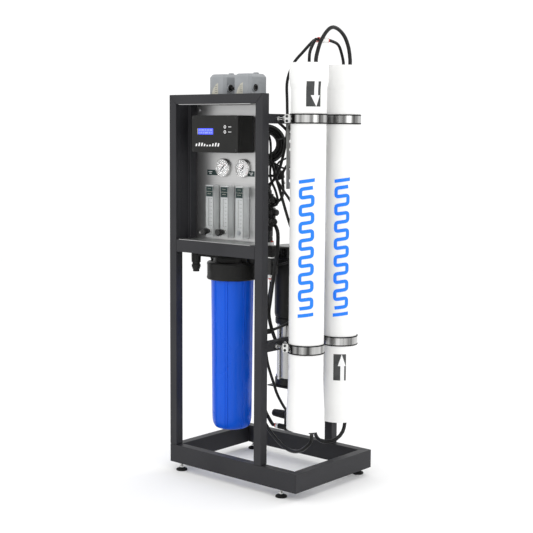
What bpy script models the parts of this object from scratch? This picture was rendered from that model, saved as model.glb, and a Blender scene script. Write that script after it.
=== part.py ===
"""Reverse osmosis unit: a powder-coated steel frame that carries a control panel, a large water filter,
a booster pump and two upright membrane vessels, built as separate parts with real joints.

Metres, +Z up.  The layout is measured from the lower left front corner of the base frame.  One empty
carries every part and puts the origin on the floor, below the middle of the unit."""
import math

import bmesh
import bpy
from mathutils import Vector

# ---- Clearances ------------------------------------------------------------------------------------
GAP = 0.0003            # between parts that touch
SLIDE_GAP = 0.0004      # around a part that turns or slides in another
PASS_GAP = 0.001        # around a fitting that passes through a sheet hole
CUT = 0.002             # how far a cutter runs past the face that it opens

# ---- Facets of round parts; each pair that fits together shares one count --------------------------
FACETS_LARGE = 28
FACETS_MEDIUM = 20
FACETS_SMALL = 12

# ---- Frame: welded square tube on four levelling feet ----------------------------------------------
BASE_WIDTH = 0.545
BASE_DEPTH = 0.393
BASE_RAIL_HEIGHT = 0.060
FRAME_HEIGHT = 1.218
FRONT_WIDTH = 0.402
TUBE = 0.030
TUBE_WALL = 0.002
MID_RAIL_Z = 0.710
MID_RAIL_HEIGHT = 0.040
LOWER_BAR_Z = 0.418
UPPER_BAR_DROP = 0.061  # from the top of the frame to the top of the upper crossbar

FOOT_HEIGHT = 0.026
FOOT_PAD_R = 0.0185
FOOT_STUD_R = 0.004
FOOT_STUD_REACH = 0.028
FOOT_INSET_LEFT = 0.040
FOOT_INSET_FRONT_RIGHT = 0.070
FOOT_INSET_REAR_RIGHT = 0.042

# ---- Control panel and what it carries -------------------------------------------------------------
SHEET = 0.0015
PANEL_Y = 0.088         # front face of the sheet
PANEL_RIGHT = 0.350
LEDGE_FRONT = 0.002
CHEEK_STEP_Y = 0.058
CHEEK_STEP = 0.0085

BOX_LEFT = 0.089
BOX_WIDTH = 0.200
BOX_HEIGHT = 0.117
BOX_TOP_DROP = 0.066    # from the top of the frame to the top of the control box
BOX_DEPTH = 0.0747
BOX_WALL = 0.003
COVER_DEPTH = 0.017
COVER_LIP = 0.0012
BUTTON_R = 0.0065
BUTTON_X = 0.1475       # from the left of the control box
BUTTON_PITCH = 0.0158
BUTTON_DROP = 0.0360    # from the top of the box to the upper button
BUTTON_TRAVEL = 0.0015
DISPLAY_WIDTH = 0.066
DISPLAY_HEIGHT = 0.019
DISPLAY_LEFT = 0.028
DISPLAY_DROP = 0.041
POWER_GLAND_R = 0.009
POWER_GLAND_X = 0.200
POWER_GLAND_REACH = 0.018

GAUGE_R = 0.030
GAUGE_CASE_R = 0.026
GAUGE_FACE_R = 0.0265
GAUGE_FRONT = 0.0105
GAUGE_RECESS = 0.0055
GAUGE_CASE_DEPTH = 0.024
GAUGE_X = (0.161, 0.246)
GAUGE_Z = 0.985

METER_WIDTH = 0.034
METER_DEPTH = 0.030
METER_HEIGHT = 0.169
METER_Z = 0.010         # above the top of the middle rail
METER_FIRST_X = 0.125
METER_PITCH = 0.065
METER_BORE_R = 0.0065
METER_PORT_R = 0.0075
METER_PORT_REACH = 0.016
METER_VALVE_Z = 0.0205
FLOAT_REST = 0.034
FLOAT_TRAVEL = 0.100
KNOB_R = 0.010
KNOB_LENGTH = 0.024
SPINDLE_R = 0.0035

SWITCH_WIDTH = 0.0725
SWITCH_DEPTH = 0.0855
SWITCH_HEIGHT = 0.0935
SWITCH_BASE_HEIGHT = 0.024
SWITCH_FRONT_Y = 0.0355
SWITCH_LEFT = 0.1400
SWITCH_PITCH = 0.1055

# ---- Water filter ----------------------------------------------------------------------------------
FILTER_X = 0.143
FILTER_Y = 0.150
COLLAR_R = 0.085
COLLAR_HEIGHT = 0.058
COLLAR_DROP = 0.035     # from the underside of the middle rail to the top of the collar
SUMP_R = 0.0725
SUMP_TAPER = 0.006
SUMP_LENGTH = 0.545
SUMP_WALL = 0.005
SUMP_GAP = 0.0009       # between the sump and the head, so that its facets clear as it turns
CARTRIDGE_CLEAR = 0.0175  # from the outside of the sump to the cartridge
CARTRIDGE_LENGTH = 0.500
CARTRIDGE_CORE_R = 0.014

# ---- Booster pump ----------------------------------------------------------------------------------
PUMP_X = 0.308
PUMP_Y = 0.270
PUMP_FOOT_R = 0.060
PUMP_SLEEVE_R = 0.055
PUMP_FOOT_HEIGHT = 0.026
PUMP_BODY_HEIGHT = 0.226
MOTOR_R = 0.063
MOTOR_HEIGHT = 0.239
SHELF_Z = 0.2615
SHELF_SHEET = 0.004
VALVE_X = 0.299         # left face, middle and knob height of the needle valve below the shelf
VALVE_Y = 0.250
VALVE_Z = 0.162

# ---- Membrane vessels ------------------------------------------------------------------------------
VESSEL_STANDOFF = 0.033
VESSEL_R = 0.055
VESSEL_END_R = 0.060
VESSEL_BORE_R = 0.0505
VESSEL_BOTTOM = 0.176
VESSEL_RISE = 0.092     # how far the vessels stand above the frame
VESSEL_FRONT_Y = 0.112
VESSEL_PITCH = 0.172
BOTTOM_FLARE = 0.059
BOTTOM_TAPER = 0.095
TOP_FLARE = 0.046
TOP_TAPER = 0.037
PLUG_RECESS = 0.022
PLUG_THICK = 0.028
PORT_R = 0.011
PORT_OFFSET = 0.026
PORT_REACH = 0.018
MEMBRANE_CLEAR = 0.001
CLAMP_THICK = 0.0032
CLAMP_HEIGHT = 0.030
CLAMP_STUD_R = 0.004
CLAMP_RISE_REAR = 0.006

# ---- Hoses and the power lead ----------------------------------------------------------------------
HOSE_R = 0.006
TUBE_R = 0.00475
LEAD_R = 0.004
TEE_RUN = 0.048
TEE_R = 0.0085
COIL_R = 0.0475         # middle of the coil's bundle
BUNDLE_R = 0.018
COIL_X = 0.282
COIL_Y = 0.156
COIL_RISE = 0.0105      # above the power gland
COIL_TURN = math.radians(41)
COIL_BACK = 0.012       # how far behind the coil's middle both ends of the lead leave it
COIL_REACH = 0.017      # from the middle of the bundle out to those ends
LEAD_ANGLE = math.radians(262)
PLUG_ANGLE = math.radians(292)

# ---- Worked out from the above ---------------------------------------------------------------------
POST_X = FRONT_WIDTH - TUBE
REAR_Y = BASE_DEPTH - TUBE
POST_FOOT = BASE_RAIL_HEIGHT + GAP
TOP_RAIL_Z = FRAME_HEIGHT - TUBE
LEDGE_Z = MID_RAIL_Z + MID_RAIL_HEIGHT + GAP
UPPER_BAR_Z = FRAME_HEIGHT - UPPER_BAR_DROP - TUBE
PANEL_BACK = PANEL_Y + SHEET
PANEL_LEFT = TUBE + CHEEK_STEP + SHEET + GAP
PANEL_TOP = TOP_RAIL_Z - GAP
METER_BOTTOM = MID_RAIL_Z + MID_RAIL_HEIGHT + METER_Z
METER_VALVE = METER_BOTTOM + METER_VALVE_Z
METER_PORTS = (METER_BOTTOM + 0.016, METER_BOTTOM + METER_HEIGHT - 0.016)
METER_XS = [METER_FIRST_X + index * METER_PITCH for index in range(3)]
BOX_TOP = FRAME_HEIGHT - BOX_TOP_DROP
BOX_BACK = PANEL_Y - GAP
BOX_FRONT = BOX_BACK - BOX_DEPTH
COVER_BACK = BOX_FRONT + COVER_DEPTH
BUTTON_ZS = (BOX_TOP - BUTTON_DROP, BOX_TOP - BUTTON_DROP - BUTTON_PITCH)
POWER_GLAND_Z = BOX_TOP - 0.100
COLLAR_TOP = MID_RAIL_Z - COLLAR_DROP
COLLAR_BOTTOM = COLLAR_TOP - COLLAR_HEIGHT
SUMP_TOP = COLLAR_TOP - 0.014
VESSEL_X = FRONT_WIDTH + VESSEL_STANDOFF + VESSEL_R
VESSEL_TOP = FRAME_HEIGHT + VESSEL_RISE
VESSEL_YS = {"front": VESSEL_FRONT_Y, "rear": VESSEL_FRONT_Y + VESSEL_PITCH}
CARTRIDGE_R = SUMP_R - CARTRIDGE_CLEAR
COIL_CENTRE = Vector((COIL_X, COIL_Y, POWER_GLAND_Z + COIL_RISE))
PLUG_R = VESSEL_BORE_R - GAP
CLAMP_IN_R = VESSEL_R + GAP
CLAMP_OUT_R = CLAMP_IN_R + CLAMP_THICK
PUMP_BASE = SHELF_Z + SHELF_SHEET + GAP
PUMP_TOP = PUMP_BASE + PUMP_BODY_HEIGHT
PUMP_OUTLET_Z = PUMP_BASE + PUMP_FOOT_HEIGHT / 2
RISER_PORT_Z = PUMP_BASE + 0.155
FEET = {
    "front_left": (FOOT_INSET_LEFT, TUBE / 2),
    "front_right": (BASE_WIDTH - FOOT_INSET_FRONT_RIGHT, TUBE / 2),
    "rear_left": (FOOT_INSET_LEFT, BASE_DEPTH - TUBE / 2),
    "rear_right": (BASE_WIDTH - FOOT_INSET_REAR_RIGHT, BASE_DEPTH - TUBE / 2),
}

MATERIALS = {
    "frame_paint": ((0.055, 0.055, 0.058), 0.45, 0.0),
    "stainless": ((0.62, 0.62, 0.60), 0.30, 1.0),
    "black_plastic": ((0.018, 0.018, 0.017), 0.40, 0.0),
    "white_pvc": ((0.90, 0.90, 0.88), 0.45, 0.0),
    "grey_cast": ((0.30, 0.32, 0.34), 0.50, 0.0),
    "blue_plastic": ((0.008, 0.10, 0.62), 0.30, 0.0),
    "clear_acrylic": ((0.80, 0.84, 0.84), 0.05, 0.0),
    "white_plastic": ((0.82, 0.82, 0.80), 0.40, 0.0),
    "filter_media": ((0.88, 0.87, 0.83), 0.90, 0.0),
    "black_rubber": ((0.012, 0.012, 0.012), 0.75, 0.0),
}


# ---- Scene and helpers -----------------------------------------------------------------------------
def clear_scene():
    for obj in list(bpy.data.objects):
        bpy.data.objects.remove(obj, do_unlink=True)


def new_collection(name):
    collection = bpy.data.collections.new(name)
    bpy.context.scene.collection.children.link(collection)
    return collection


clear_scene()
PARTS = new_collection("reverse_osmosis_unit")
GUIDES = new_collection("cutters")
ROOT = bpy.data.objects.new("unit", None)
PARTS.objects.link(ROOT)


def material(name):
    found = bpy.data.materials.get(name)
    if found:
        return found
    color, roughness, metallic = MATERIALS[name]
    made = bpy.data.materials.new(name)
    made.use_nodes = True
    shader = made.node_tree.nodes["Principled BSDF"]
    shader.inputs["Base Color"].default_value = (*color, 1.0)
    shader.inputs["Roughness"].default_value = roughness
    shader.inputs["Metallic"].default_value = metallic
    return made


def place(name, data, location, paint):
    obj = bpy.data.objects.new(name, data)
    obj.location = location
    obj.parent = ROOT
    if paint:
        data.materials.append(material(paint))
    PARTS.objects.link(obj)
    return obj


def as_mesh(name, bm):
    mesh = bpy.data.meshes.new(name)
    bm.to_mesh(mesh)
    bm.free()
    return mesh


def block(name, low, high, paint=None, round_axis=None, radius=0.0, steps=3):
    """A box between two corners; round_axis names the axis whose four long edges are rounded."""
    low, high = Vector(low), Vector(high)
    bm = bmesh.new()
    bmesh.ops.create_cube(bm, size=1.0)
    bmesh.ops.scale(bm, vec=high - low, verts=bm.verts)
    if round_axis is not None:
        edges = [e for e in bm.edges if abs((e.verts[0].co - e.verts[1].co)[round_axis]) > 1e-6]
        bmesh.ops.bevel(bm, geom=edges, offset=radius, segments=steps, profile=0.5, affect="EDGES")
    return place(name, as_mesh(name, bm), (low + high) / 2, paint)


def rod(name, start, end, radius, paint=None, end_radius=None, segments=FACETS_MEDIUM):
    """A round bar, or a cone where end_radius differs, from one point to another."""
    start, end = Vector(start), Vector(end)
    bm = bmesh.new()
    bmesh.ops.create_cone(bm, cap_ends=True, segments=segments, radius1=radius,
                          radius2=radius if end_radius is None else end_radius,
                          depth=(end - start).length)
    obj = place(name, as_mesh(name, bm), (start + end) / 2, paint)
    obj.rotation_euler = (end - start).to_track_quat("Z", "Y").to_euler()
    obj.data.shade_smooth()
    obj.data.set_sharp_from_angle(angle=math.radians(40))
    return obj


def turned(name, profile, location, paint=None, segments=FACETS_LARGE, closed=False, axis="Z"):
    """A profile of (radius, height) points, top to bottom down its outer side, turned about an axis."""
    bm = bmesh.new()
    verts = [bm.verts.new((radius, 0.0, height)) for radius, height in profile]
    for first, second in zip(verts, verts[1:]):
        bm.edges.new((first, second))
    if closed:
        bm.edges.new((verts[-1], verts[0]))
    obj = place(name, as_mesh(name, bm), location, paint)
    screw = obj.modifiers.new("turn", "SCREW")
    screw.steps = segments
    screw.render_steps = segments
    screw.use_merge_vertices = True
    screw.merge_threshold = 0.00001
    obj.rotation_euler = {"Z": (0, 0, 0), "-Y": (math.pi / 2, 0, 0), "-X": (0, -math.pi / 2, 0)}[axis]
    return obj


def combine(obj, operation, others):
    for other in others:
        modifier = obj.modifiers.new(other.name, "BOOLEAN")
        modifier.operation = operation
        modifier.object = other
        PARTS.objects.unlink(other)
        GUIDES.objects.link(other)
        other.hide_render = True
        other.display_type = "WIRE"
    return obj


def cut(obj, *others):
    return combine(obj, "DIFFERENCE", others)


def join(obj, *others):
    return combine(obj, "UNION", others)


def smooth_route(points, step):
    """Points about one step apart on a smooth curve; the first and the last stretch stay straight."""
    route = [points[0]]
    for before, start, end, after in zip(points, points[1:], points[2:], points[3:]):
        count = max(2, round((end - start).length / step))
        for index in range(count):
            t = index / count
            route.append(0.5 * (2 * start + (end - before) * t
                                + (2 * before - 5 * start + 4 * end - after) * t ** 2
                                + (3 * start - before - 3 * end + after) * t ** 3))
    return route + [points[-2], points[-1]]


def hose(name, start, start_way, bends, end, end_way, radius, paint="black_rubber"):
    """A round hose from one port to another; each way points straight out of its port."""
    start, end = Vector(start), Vector(end)
    start_way, end_way = Vector(start_way).normalized(), Vector(end_way).normalized()
    points = [start + start_way * GAP, start + start_way * 2.5 * radius]
    points += [Vector(bend) for bend in bends]
    points += [end + end_way * 2.5 * radius, end + end_way * GAP]
    route = smooth_route(points, 5.5 * radius)
    curve = bpy.data.curves.new(name, "CURVE")
    curve.dimensions = "3D"
    curve.bevel_depth = radius
    curve.bevel_resolution = 2
    curve.use_fill_caps = True
    spline = curve.splines.new("POLY")
    spline.points.add(len(route) - 1)
    for point, co in zip(spline.points, route):
        point.co = (*co, 1.0)
    return place(name, curve, (0, 0, 0), paint)


# ---- Frame -----------------------------------------------------------------------------------------
def box_tube(name, low, high, axis, open_ends, paint=None):
    """A square tube along one axis; open_ends gives how far its hollow runs past each end."""
    tube = block(name, low, high, paint)
    inner_low = [value + TUBE_WALL for value in low]
    inner_high = [value - TUBE_WALL for value in high]
    inner_low[axis] = low[axis] - open_ends[0]
    inner_high[axis] = high[axis] + open_ends[1]
    return tube, block(name + "_hollow", inner_low, inner_high)


def mitre(name, keep_left):
    """A wedge that cuts the upper right corner of the front frame at 45 degrees."""
    size = 4 * TUBE
    side = 1 if keep_left else -1
    wedge = block(name, (0, -TUBE, -size), (size, 2 * TUBE, size))
    for vertex in wedge.data.vertices:
        vertex.co.x = vertex.co.x * side + side * (size - GAP) / 2
        vertex.co.y += TUBE / 2
    if not keep_left:
        wedge.data.flip_normals()
    wedge.location = (FRONT_WIDTH - TUBE / 2, 0, FRAME_HEIGHT - TUBE / 2)
    wedge.rotation_euler = (0, math.radians(45), 0)
    return wedge


def base_frame():
    ring = block("base_frame", (0, 0, 0), (BASE_WIDTH, BASE_DEPTH, BASE_RAIL_HEIGHT), "frame_paint")
    window = block("base_window", (TUBE, TUBE, -CUT),
                   (BASE_WIDTH - TUBE, BASE_DEPTH - TUBE, BASE_RAIL_HEIGHT + CUT))
    wall = TUBE_WALL
    hollow = block("base_hollow", (wall, wall, wall),
                   (BASE_WIDTH - wall, BASE_DEPTH - wall, BASE_RAIL_HEIGHT - wall))
    inside = TUBE - wall
    cut(hollow, block("base_core", (inside, inside, -CUT),
                      (BASE_WIDTH - inside, BASE_DEPTH - inside, BASE_RAIL_HEIGHT + CUT)))
    holes = [rod("stud_hole_" + name, (x, y, -CUT), (x, y, wall + CUT), FOOT_STUD_R + SLIDE_GAP)
             for name, (x, y) in FEET.items()]
    cut(ring, window, hollow, *holes)


def levelling_feet():
    profile = [(0, FOOT_STUD_REACH), (FOOT_STUD_R, FOOT_STUD_REACH), (FOOT_STUD_R, -0.011),
               (0.0075, -0.011), (0.0080, -0.016), (FOOT_PAD_R, -FOOT_HEIGHT + 0.0045),
               (FOOT_PAD_R, -FOOT_HEIGHT), (0, -FOOT_HEIGHT)]
    for name, (x, y) in FEET.items():
        turned("levelling_foot_" + name, profile, (x, y, 0), "black_rubber", segments=FACETS_SMALL)


def front_post_left():
    """Left post, top rail and the joggled side cheek that carries the panel, welded together."""
    post, post_hollow = box_tube("front_post_left", [0, 0, POST_FOOT], [TUBE, TUBE, FRAME_HEIGHT], 2,
                                 (CUT, -TUBE_WALL), "frame_paint")
    rail, rail_hollow = box_tube("top_rail", [0, 0, TOP_RAIL_Z], [FRONT_WIDTH, TUBE, FRAME_HEIGHT], 0,
                                 (-TUBE_WALL, CUT))
    back = TUBE - TUBE_WALL / 2
    front_leaf = block("cheek_front", (TUBE - SHEET, back, LEDGE_Z),
                       (TUBE, CHEEK_STEP_Y, TOP_RAIL_Z + TUBE_WALL / 2))
    step = block("cheek_step", (TUBE - SHEET, CHEEK_STEP_Y - SHEET, LEDGE_Z),
                 (TUBE + CHEEK_STEP + SHEET, CHEEK_STEP_Y, TOP_RAIL_Z + TUBE_WALL / 2))
    rear_leaf = block("cheek_rear", (TUBE + CHEEK_STEP, CHEEK_STEP_Y - SHEET, LEDGE_Z),
                      (TUBE + CHEEK_STEP + SHEET, PANEL_BACK, TOP_RAIL_Z + TUBE_WALL / 2))
    join(post, rail)
    cut(post, post_hollow, rail_hollow, mitre("mitre_left", True))
    join(post, front_leaf, step, rear_leaf)


def front_post_right():
    """Right post, lower crossbar and the shelf that hangs from it for the pump, welded together."""
    post, post_hollow = box_tube("front_post_right", [POST_X, 0, POST_FOOT],
                                 [FRONT_WIDTH, TUBE, FRAME_HEIGHT], 2, (CUT, CUT), "frame_paint")
    bar, bar_hollow = box_tube("lower_bar", [POST_X, TUBE - TUBE_WALL / 2, LOWER_BAR_Z],
                               [FRONT_WIDTH, REAR_Y - GAP, LOWER_BAR_Z + TUBE], 1, (-2 * TUBE_WALL, CUT))
    cut(post, post_hollow, mitre("mitre_right", False))
    hanger_x = POST_X + TUBE_WALL
    hanger = block("shelf_hanger", (hanger_x, PUMP_Y - PUMP_FOOT_R, SHELF_Z),
                   (hanger_x + SHELF_SHEET, PUMP_Y + PUMP_FOOT_R, LOWER_BAR_Z + TUBE_WALL / 2))
    shelf = block("pump_shelf", (PUMP_X - PUMP_FOOT_R, PUMP_Y - PUMP_FOOT_R, SHELF_Z),
                  (hanger_x + SHELF_SHEET, PUMP_Y + PUMP_FOOT_R, SHELF_Z + SHELF_SHEET))
    join(post, bar)
    cut(post, bar_hollow)
    join(post, hanger, shelf)


def mid_rail():
    rail, hollow = box_tube("mid_rail", [TUBE + GAP, 0, MID_RAIL_Z],
                            [POST_X - GAP, TUBE, MID_RAIL_Z + MID_RAIL_HEIGHT], 0, (CUT, CUT), "frame_paint")
    cut(rail, hollow)


def rear_post():
    """Rear post and the upper crossbar, welded together."""
    top = UPPER_BAR_Z + TUBE
    post, post_hollow = box_tube("rear_post", [POST_X, REAR_Y, POST_FOOT], [FRONT_WIDTH, BASE_DEPTH, top], 2,
                                 (CUT, -TUBE_WALL), "frame_paint")
    bar, bar_hollow = box_tube("upper_bar", [POST_X, TUBE + GAP, UPPER_BAR_Z],
                               [FRONT_WIDTH, BASE_DEPTH, top], 1, (CUT, -TUBE_WALL))
    join(post, bar)
    cut(post, post_hollow, bar_hollow)


# ---- Panel -----------------------------------------------------------------------------------------
def control_panel():
    """Folded stainless sheet: a front face with a ledge along the top and the bottom edge."""
    face = block("control_panel", (PANEL_LEFT, PANEL_Y, LEDGE_Z), (PANEL_RIGHT, PANEL_BACK, PANEL_TOP),
                 "stainless")
    lower = block("lower_ledge", (PANEL_LEFT, LEDGE_FRONT, LEDGE_Z),
                  (PANEL_RIGHT, PANEL_BACK, LEDGE_Z + SHEET))
    upper = block("upper_ledge", (PANEL_LEFT, LEDGE_FRONT, PANEL_TOP - SHEET),
                  (PANEL_RIGHT, PANEL_BACK, PANEL_TOP))
    join(face, lower, upper)
    for index, x in enumerate(GAUGE_X):
        cut(face, panel_hole("gauge_hole_%d" % index, x, GAUGE_Z, GAUGE_CASE_R, FACETS_LARGE))
    for index, x in enumerate(METER_XS):
        for level, z in enumerate(METER_PORTS):
            cut(face, panel_hole("meter_hole_%d_%d" % (index, level), x, z, METER_PORT_R))
    cut(face, panel_hole("power_hole", POWER_GLAND_X, POWER_GLAND_Z, POWER_GLAND_R))


def panel_hole(name, x, z, radius, facets=FACETS_SMALL):
    return rod(name, (x, PANEL_Y - CUT, z), (x, PANEL_BACK + CUT, z), radius + PASS_GAP, segments=facets)


def control_box():
    """Housing behind, cover in front, and two push buttons through the cover."""
    left, right = BOX_LEFT, BOX_LEFT + BOX_WIDTH
    bottom = BOX_TOP - BOX_HEIGHT
    wall = BOX_WALL
    housing = block("control_box", (left, COVER_BACK + GAP, bottom), (right, BOX_BACK, BOX_TOP),
                    "black_plastic", round_axis=1, radius=0.005)
    cut(housing, block("box_hollow", (left + wall, COVER_BACK - CUT, bottom + wall),
                       (right - wall, BOX_BACK - wall, BOX_TOP - wall)))
    gland_start = (POWER_GLAND_X, BOX_BACK - wall / 2, POWER_GLAND_Z)
    gland_end = (POWER_GLAND_X, PANEL_BACK + POWER_GLAND_REACH, POWER_GLAND_Z)
    join(housing, rod("power_gland", gland_start, gland_end, POWER_GLAND_R, segments=FACETS_SMALL))

    cover = block("control_cover", (left, BOX_FRONT, bottom), (right, COVER_BACK, BOX_TOP),
                  "black_plastic", round_axis=1, radius=0.005)
    cut(cover, block("cover_hollow", (left + wall, BOX_FRONT + wall, bottom + wall),
                     (right - wall, COVER_BACK + CUT, BOX_TOP - wall)))
    display_left = left + DISPLAY_LEFT
    display_top = BOX_TOP - DISPLAY_DROP
    cut(cover, block("display_recess", (display_left, BOX_FRONT - CUT, display_top - DISPLAY_HEIGHT),
                     (display_left + DISPLAY_WIDTH, BOX_FRONT + COVER_LIP, display_top)))
    x = left + BUTTON_X
    for name, z in zip(("start_button", "stop_button"), BUTTON_ZS):
        cut(cover, rod(name + "_hole", (x, BOX_FRONT - CUT, z), (x, BOX_FRONT + wall + CUT, z),
                       BUTTON_R + SLIDE_GAP))
        cap = rod(name, (x, BOX_FRONT - BUTTON_TRAVEL - 0.0005, z), (x, BOX_FRONT + wall + 0.004, z),
                  BUTTON_R, "white_plastic")
        cap.location = (x, BOX_FRONT, z)
        for vertex in cap.data.vertices:
            vertex.co.z += (wall + 0.004 - BUTTON_TRAVEL - 0.0005) / 2
    inset = 0.0075
    for index in range(4):
        screw_x = left + inset if index % 2 == 0 else right - inset
        screw_z = bottom + inset if index < 2 else BOX_TOP - inset
        cut(cover, rod("cover_screw_%d" % index, (screw_x, BOX_FRONT - CUT, screw_z),
                       (screw_x, BOX_FRONT + 0.0018, screw_z), 0.0035, segments=FACETS_SMALL))


def gauges():
    """Two round panel gauges, each with a pointer that turns on its own axis."""
    depth = PANEL_Y - GAP
    front = depth - GAUGE_FRONT
    floor = front + GAUGE_RECESS
    for name, x in zip(("feed_gauge", "membrane_gauge"), GAUGE_X):
        # Heights run towards -Y from the panel's front face.
        rear = -(PANEL_BACK + GAUGE_CASE_DEPTH - depth)
        profile = [(0, depth - floor), (GAUGE_FACE_R, depth - floor), (GAUGE_FACE_R, depth - front),
                   (GAUGE_R - 0.001, depth - front), (GAUGE_R, depth - front - 0.0015), (GAUGE_R, 0),
                   (GAUGE_CASE_R, 0), (GAUGE_CASE_R, rear), (0.007, rear), (0.007, rear - 0.014),
                   (0, rear - 0.014)]
        turned(name, profile, (x, depth, GAUGE_Z), "stainless", axis="-Y")
        pointer = rod(name + "_pointer", (x, front + 0.0014, GAUGE_Z), (x, floor - GAP, GAUGE_Z), 0.0026,
                      "black_plastic", segments=FACETS_SMALL)
        centre = pointer.location.copy()
        tip = block(name + "_blade", (-0.0007, -0.0005, -0.007), (0.0007, 0.0005, 0.020))
        for vertex in tip.data.vertices:
            vertex.co.z += 0.0065
        tip.location = centre
        tip.rotation_euler = (0, math.radians(225), 0)
        join(pointer, tip)


def flow_meters():
    """Clear blocks with a float in a bore; the first two also carry a needle valve knob."""
    front = PANEL_Y - GAP - METER_DEPTH
    top = METER_BOTTOM + METER_HEIGHT
    bore_y = front + METER_DEPTH / 2
    for index, x in enumerate(METER_XS):
        name = "flow_meter_%d" % (index + 1)
        body = block(name, (x - METER_WIDTH / 2, front, METER_BOTTOM),
                     (x + METER_WIDTH / 2, PANEL_Y - GAP, top), "clear_acrylic")
        for level, z in enumerate(METER_PORTS):
            join(body, rod("%s_port_%d" % (name, level), (x, PANEL_Y - 0.004, z),
                           (x, PANEL_BACK + METER_PORT_REACH, z), METER_PORT_R, segments=FACETS_SMALL))
        cut(body, rod(name + "_bore", (x, bore_y, METER_BOTTOM + FLOAT_REST - 0.002), (x, bore_y, top + CUT),
                      METER_BORE_R, segments=FACETS_SMALL))
        float_bottom = METER_BOTTOM + FLOAT_REST
        profile = [(0, 0.013), (0.0055, 0.012), (0.0055, 0.008), (0.0022, 0), (0, 0)]
        turned("float_%d" % (index + 1), profile, (x, bore_y, float_bottom), "stainless",
               segments=FACETS_SMALL)
        if index < 2:
            cut(body, rod(name + "_seat", (x, front - CUT, METER_VALVE), (x, front + 0.015, METER_VALVE),
                          SPINDLE_R + SLIDE_GAP, segments=FACETS_SMALL))
            knob_front = front - 0.004 - KNOB_LENGTH
            # Heights run towards -Y from the meter's front face.
            reach = front - knob_front
            profile = [(0, reach), (KNOB_R - 0.0015, reach), (KNOB_R, reach - 0.0015), (KNOB_R, 0.012),
                       (KNOB_R - 0.0025, 0.004), (SPINDLE_R, 0.004), (SPINDLE_R, -0.014), (0, -0.014)]
            turned("flow_knob_%d" % (index + 1), profile, (x, front, METER_VALVE), "black_plastic",
                   segments=FACETS_MEDIUM, axis="-Y")
        else:
            join(body, rod(name + "_blank", (x, front - 0.003, METER_VALVE), (x, front + 0.004, METER_VALVE),
                           0.008, segments=FACETS_SMALL))


def pressure_switches():
    """Grey chamfered covers on a smaller base, with a cover screw on top and a cable gland at the side."""
    bottom = PANEL_TOP + GAP
    for index, name in enumerate(("low_pressure_switch", "high_pressure_switch")):
        left = SWITCH_LEFT + index * SWITCH_PITCH
        right = left + SWITCH_WIDTH
        y0, y1 = SWITCH_FRONT_Y, SWITCH_FRONT_Y + SWITCH_DEPTH
        top = bottom + SWITCH_HEIGHT
        cover = block(name, (left, y0, bottom + SWITCH_BASE_HEIGHT), (right, y1, top), "grey_cast",
                      round_axis=2, radius=0.008, steps=1)
        chamfer = cover.modifiers.new("top_chamfer", "BEVEL")
        chamfer.width = 0.006
        chamfer.segments = 1
        chamfer.limit_method = "ANGLE"
        chamfer.angle_limit = math.radians(60)
        base = block(name + "_base", (left + 0.004, y0 + 0.004, bottom),
                     (right - 0.004, y1 - 0.004, bottom + SWITCH_BASE_HEIGHT + 0.008))
        screw_x, screw_y = (left + right) / 2, y1 - 0.016
        screw = rod(name + "_screw", (screw_x, screw_y, top - 0.004), (screw_x, screw_y, top + 0.0055),
                    0.0065, segments=FACETS_SMALL)
        gland_y, gland_z = y0 + 0.024, top - 0.044
        gland = rod(name + "_gland", (right - 0.005, gland_y, gland_z), (right + 0.005, gland_y, gland_z),
                    0.0135, segments=FACETS_SMALL)
        join(cover, base, screw, gland)


def inlet_union():
    """Bulkhead connector that hangs from the lower ledge just behind the middle rail."""
    x, y = 0.065, 0.058
    profile = [(0, 0.0), (0.017, 0.0), (0.017, -0.014), (0.0125, -0.015), (0.0125, -0.083), (0.0148, -0.084),
               (0.0148, -0.092), (0.0128, -0.093), (0.0128, -0.098), (0.0105, -0.099), (0.0105, -0.107),
               (0, -0.107)]
    turned("inlet_union", profile, (x, y, LEDGE_Z - GAP), "black_plastic", segments=FACETS_MEDIUM)


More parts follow.
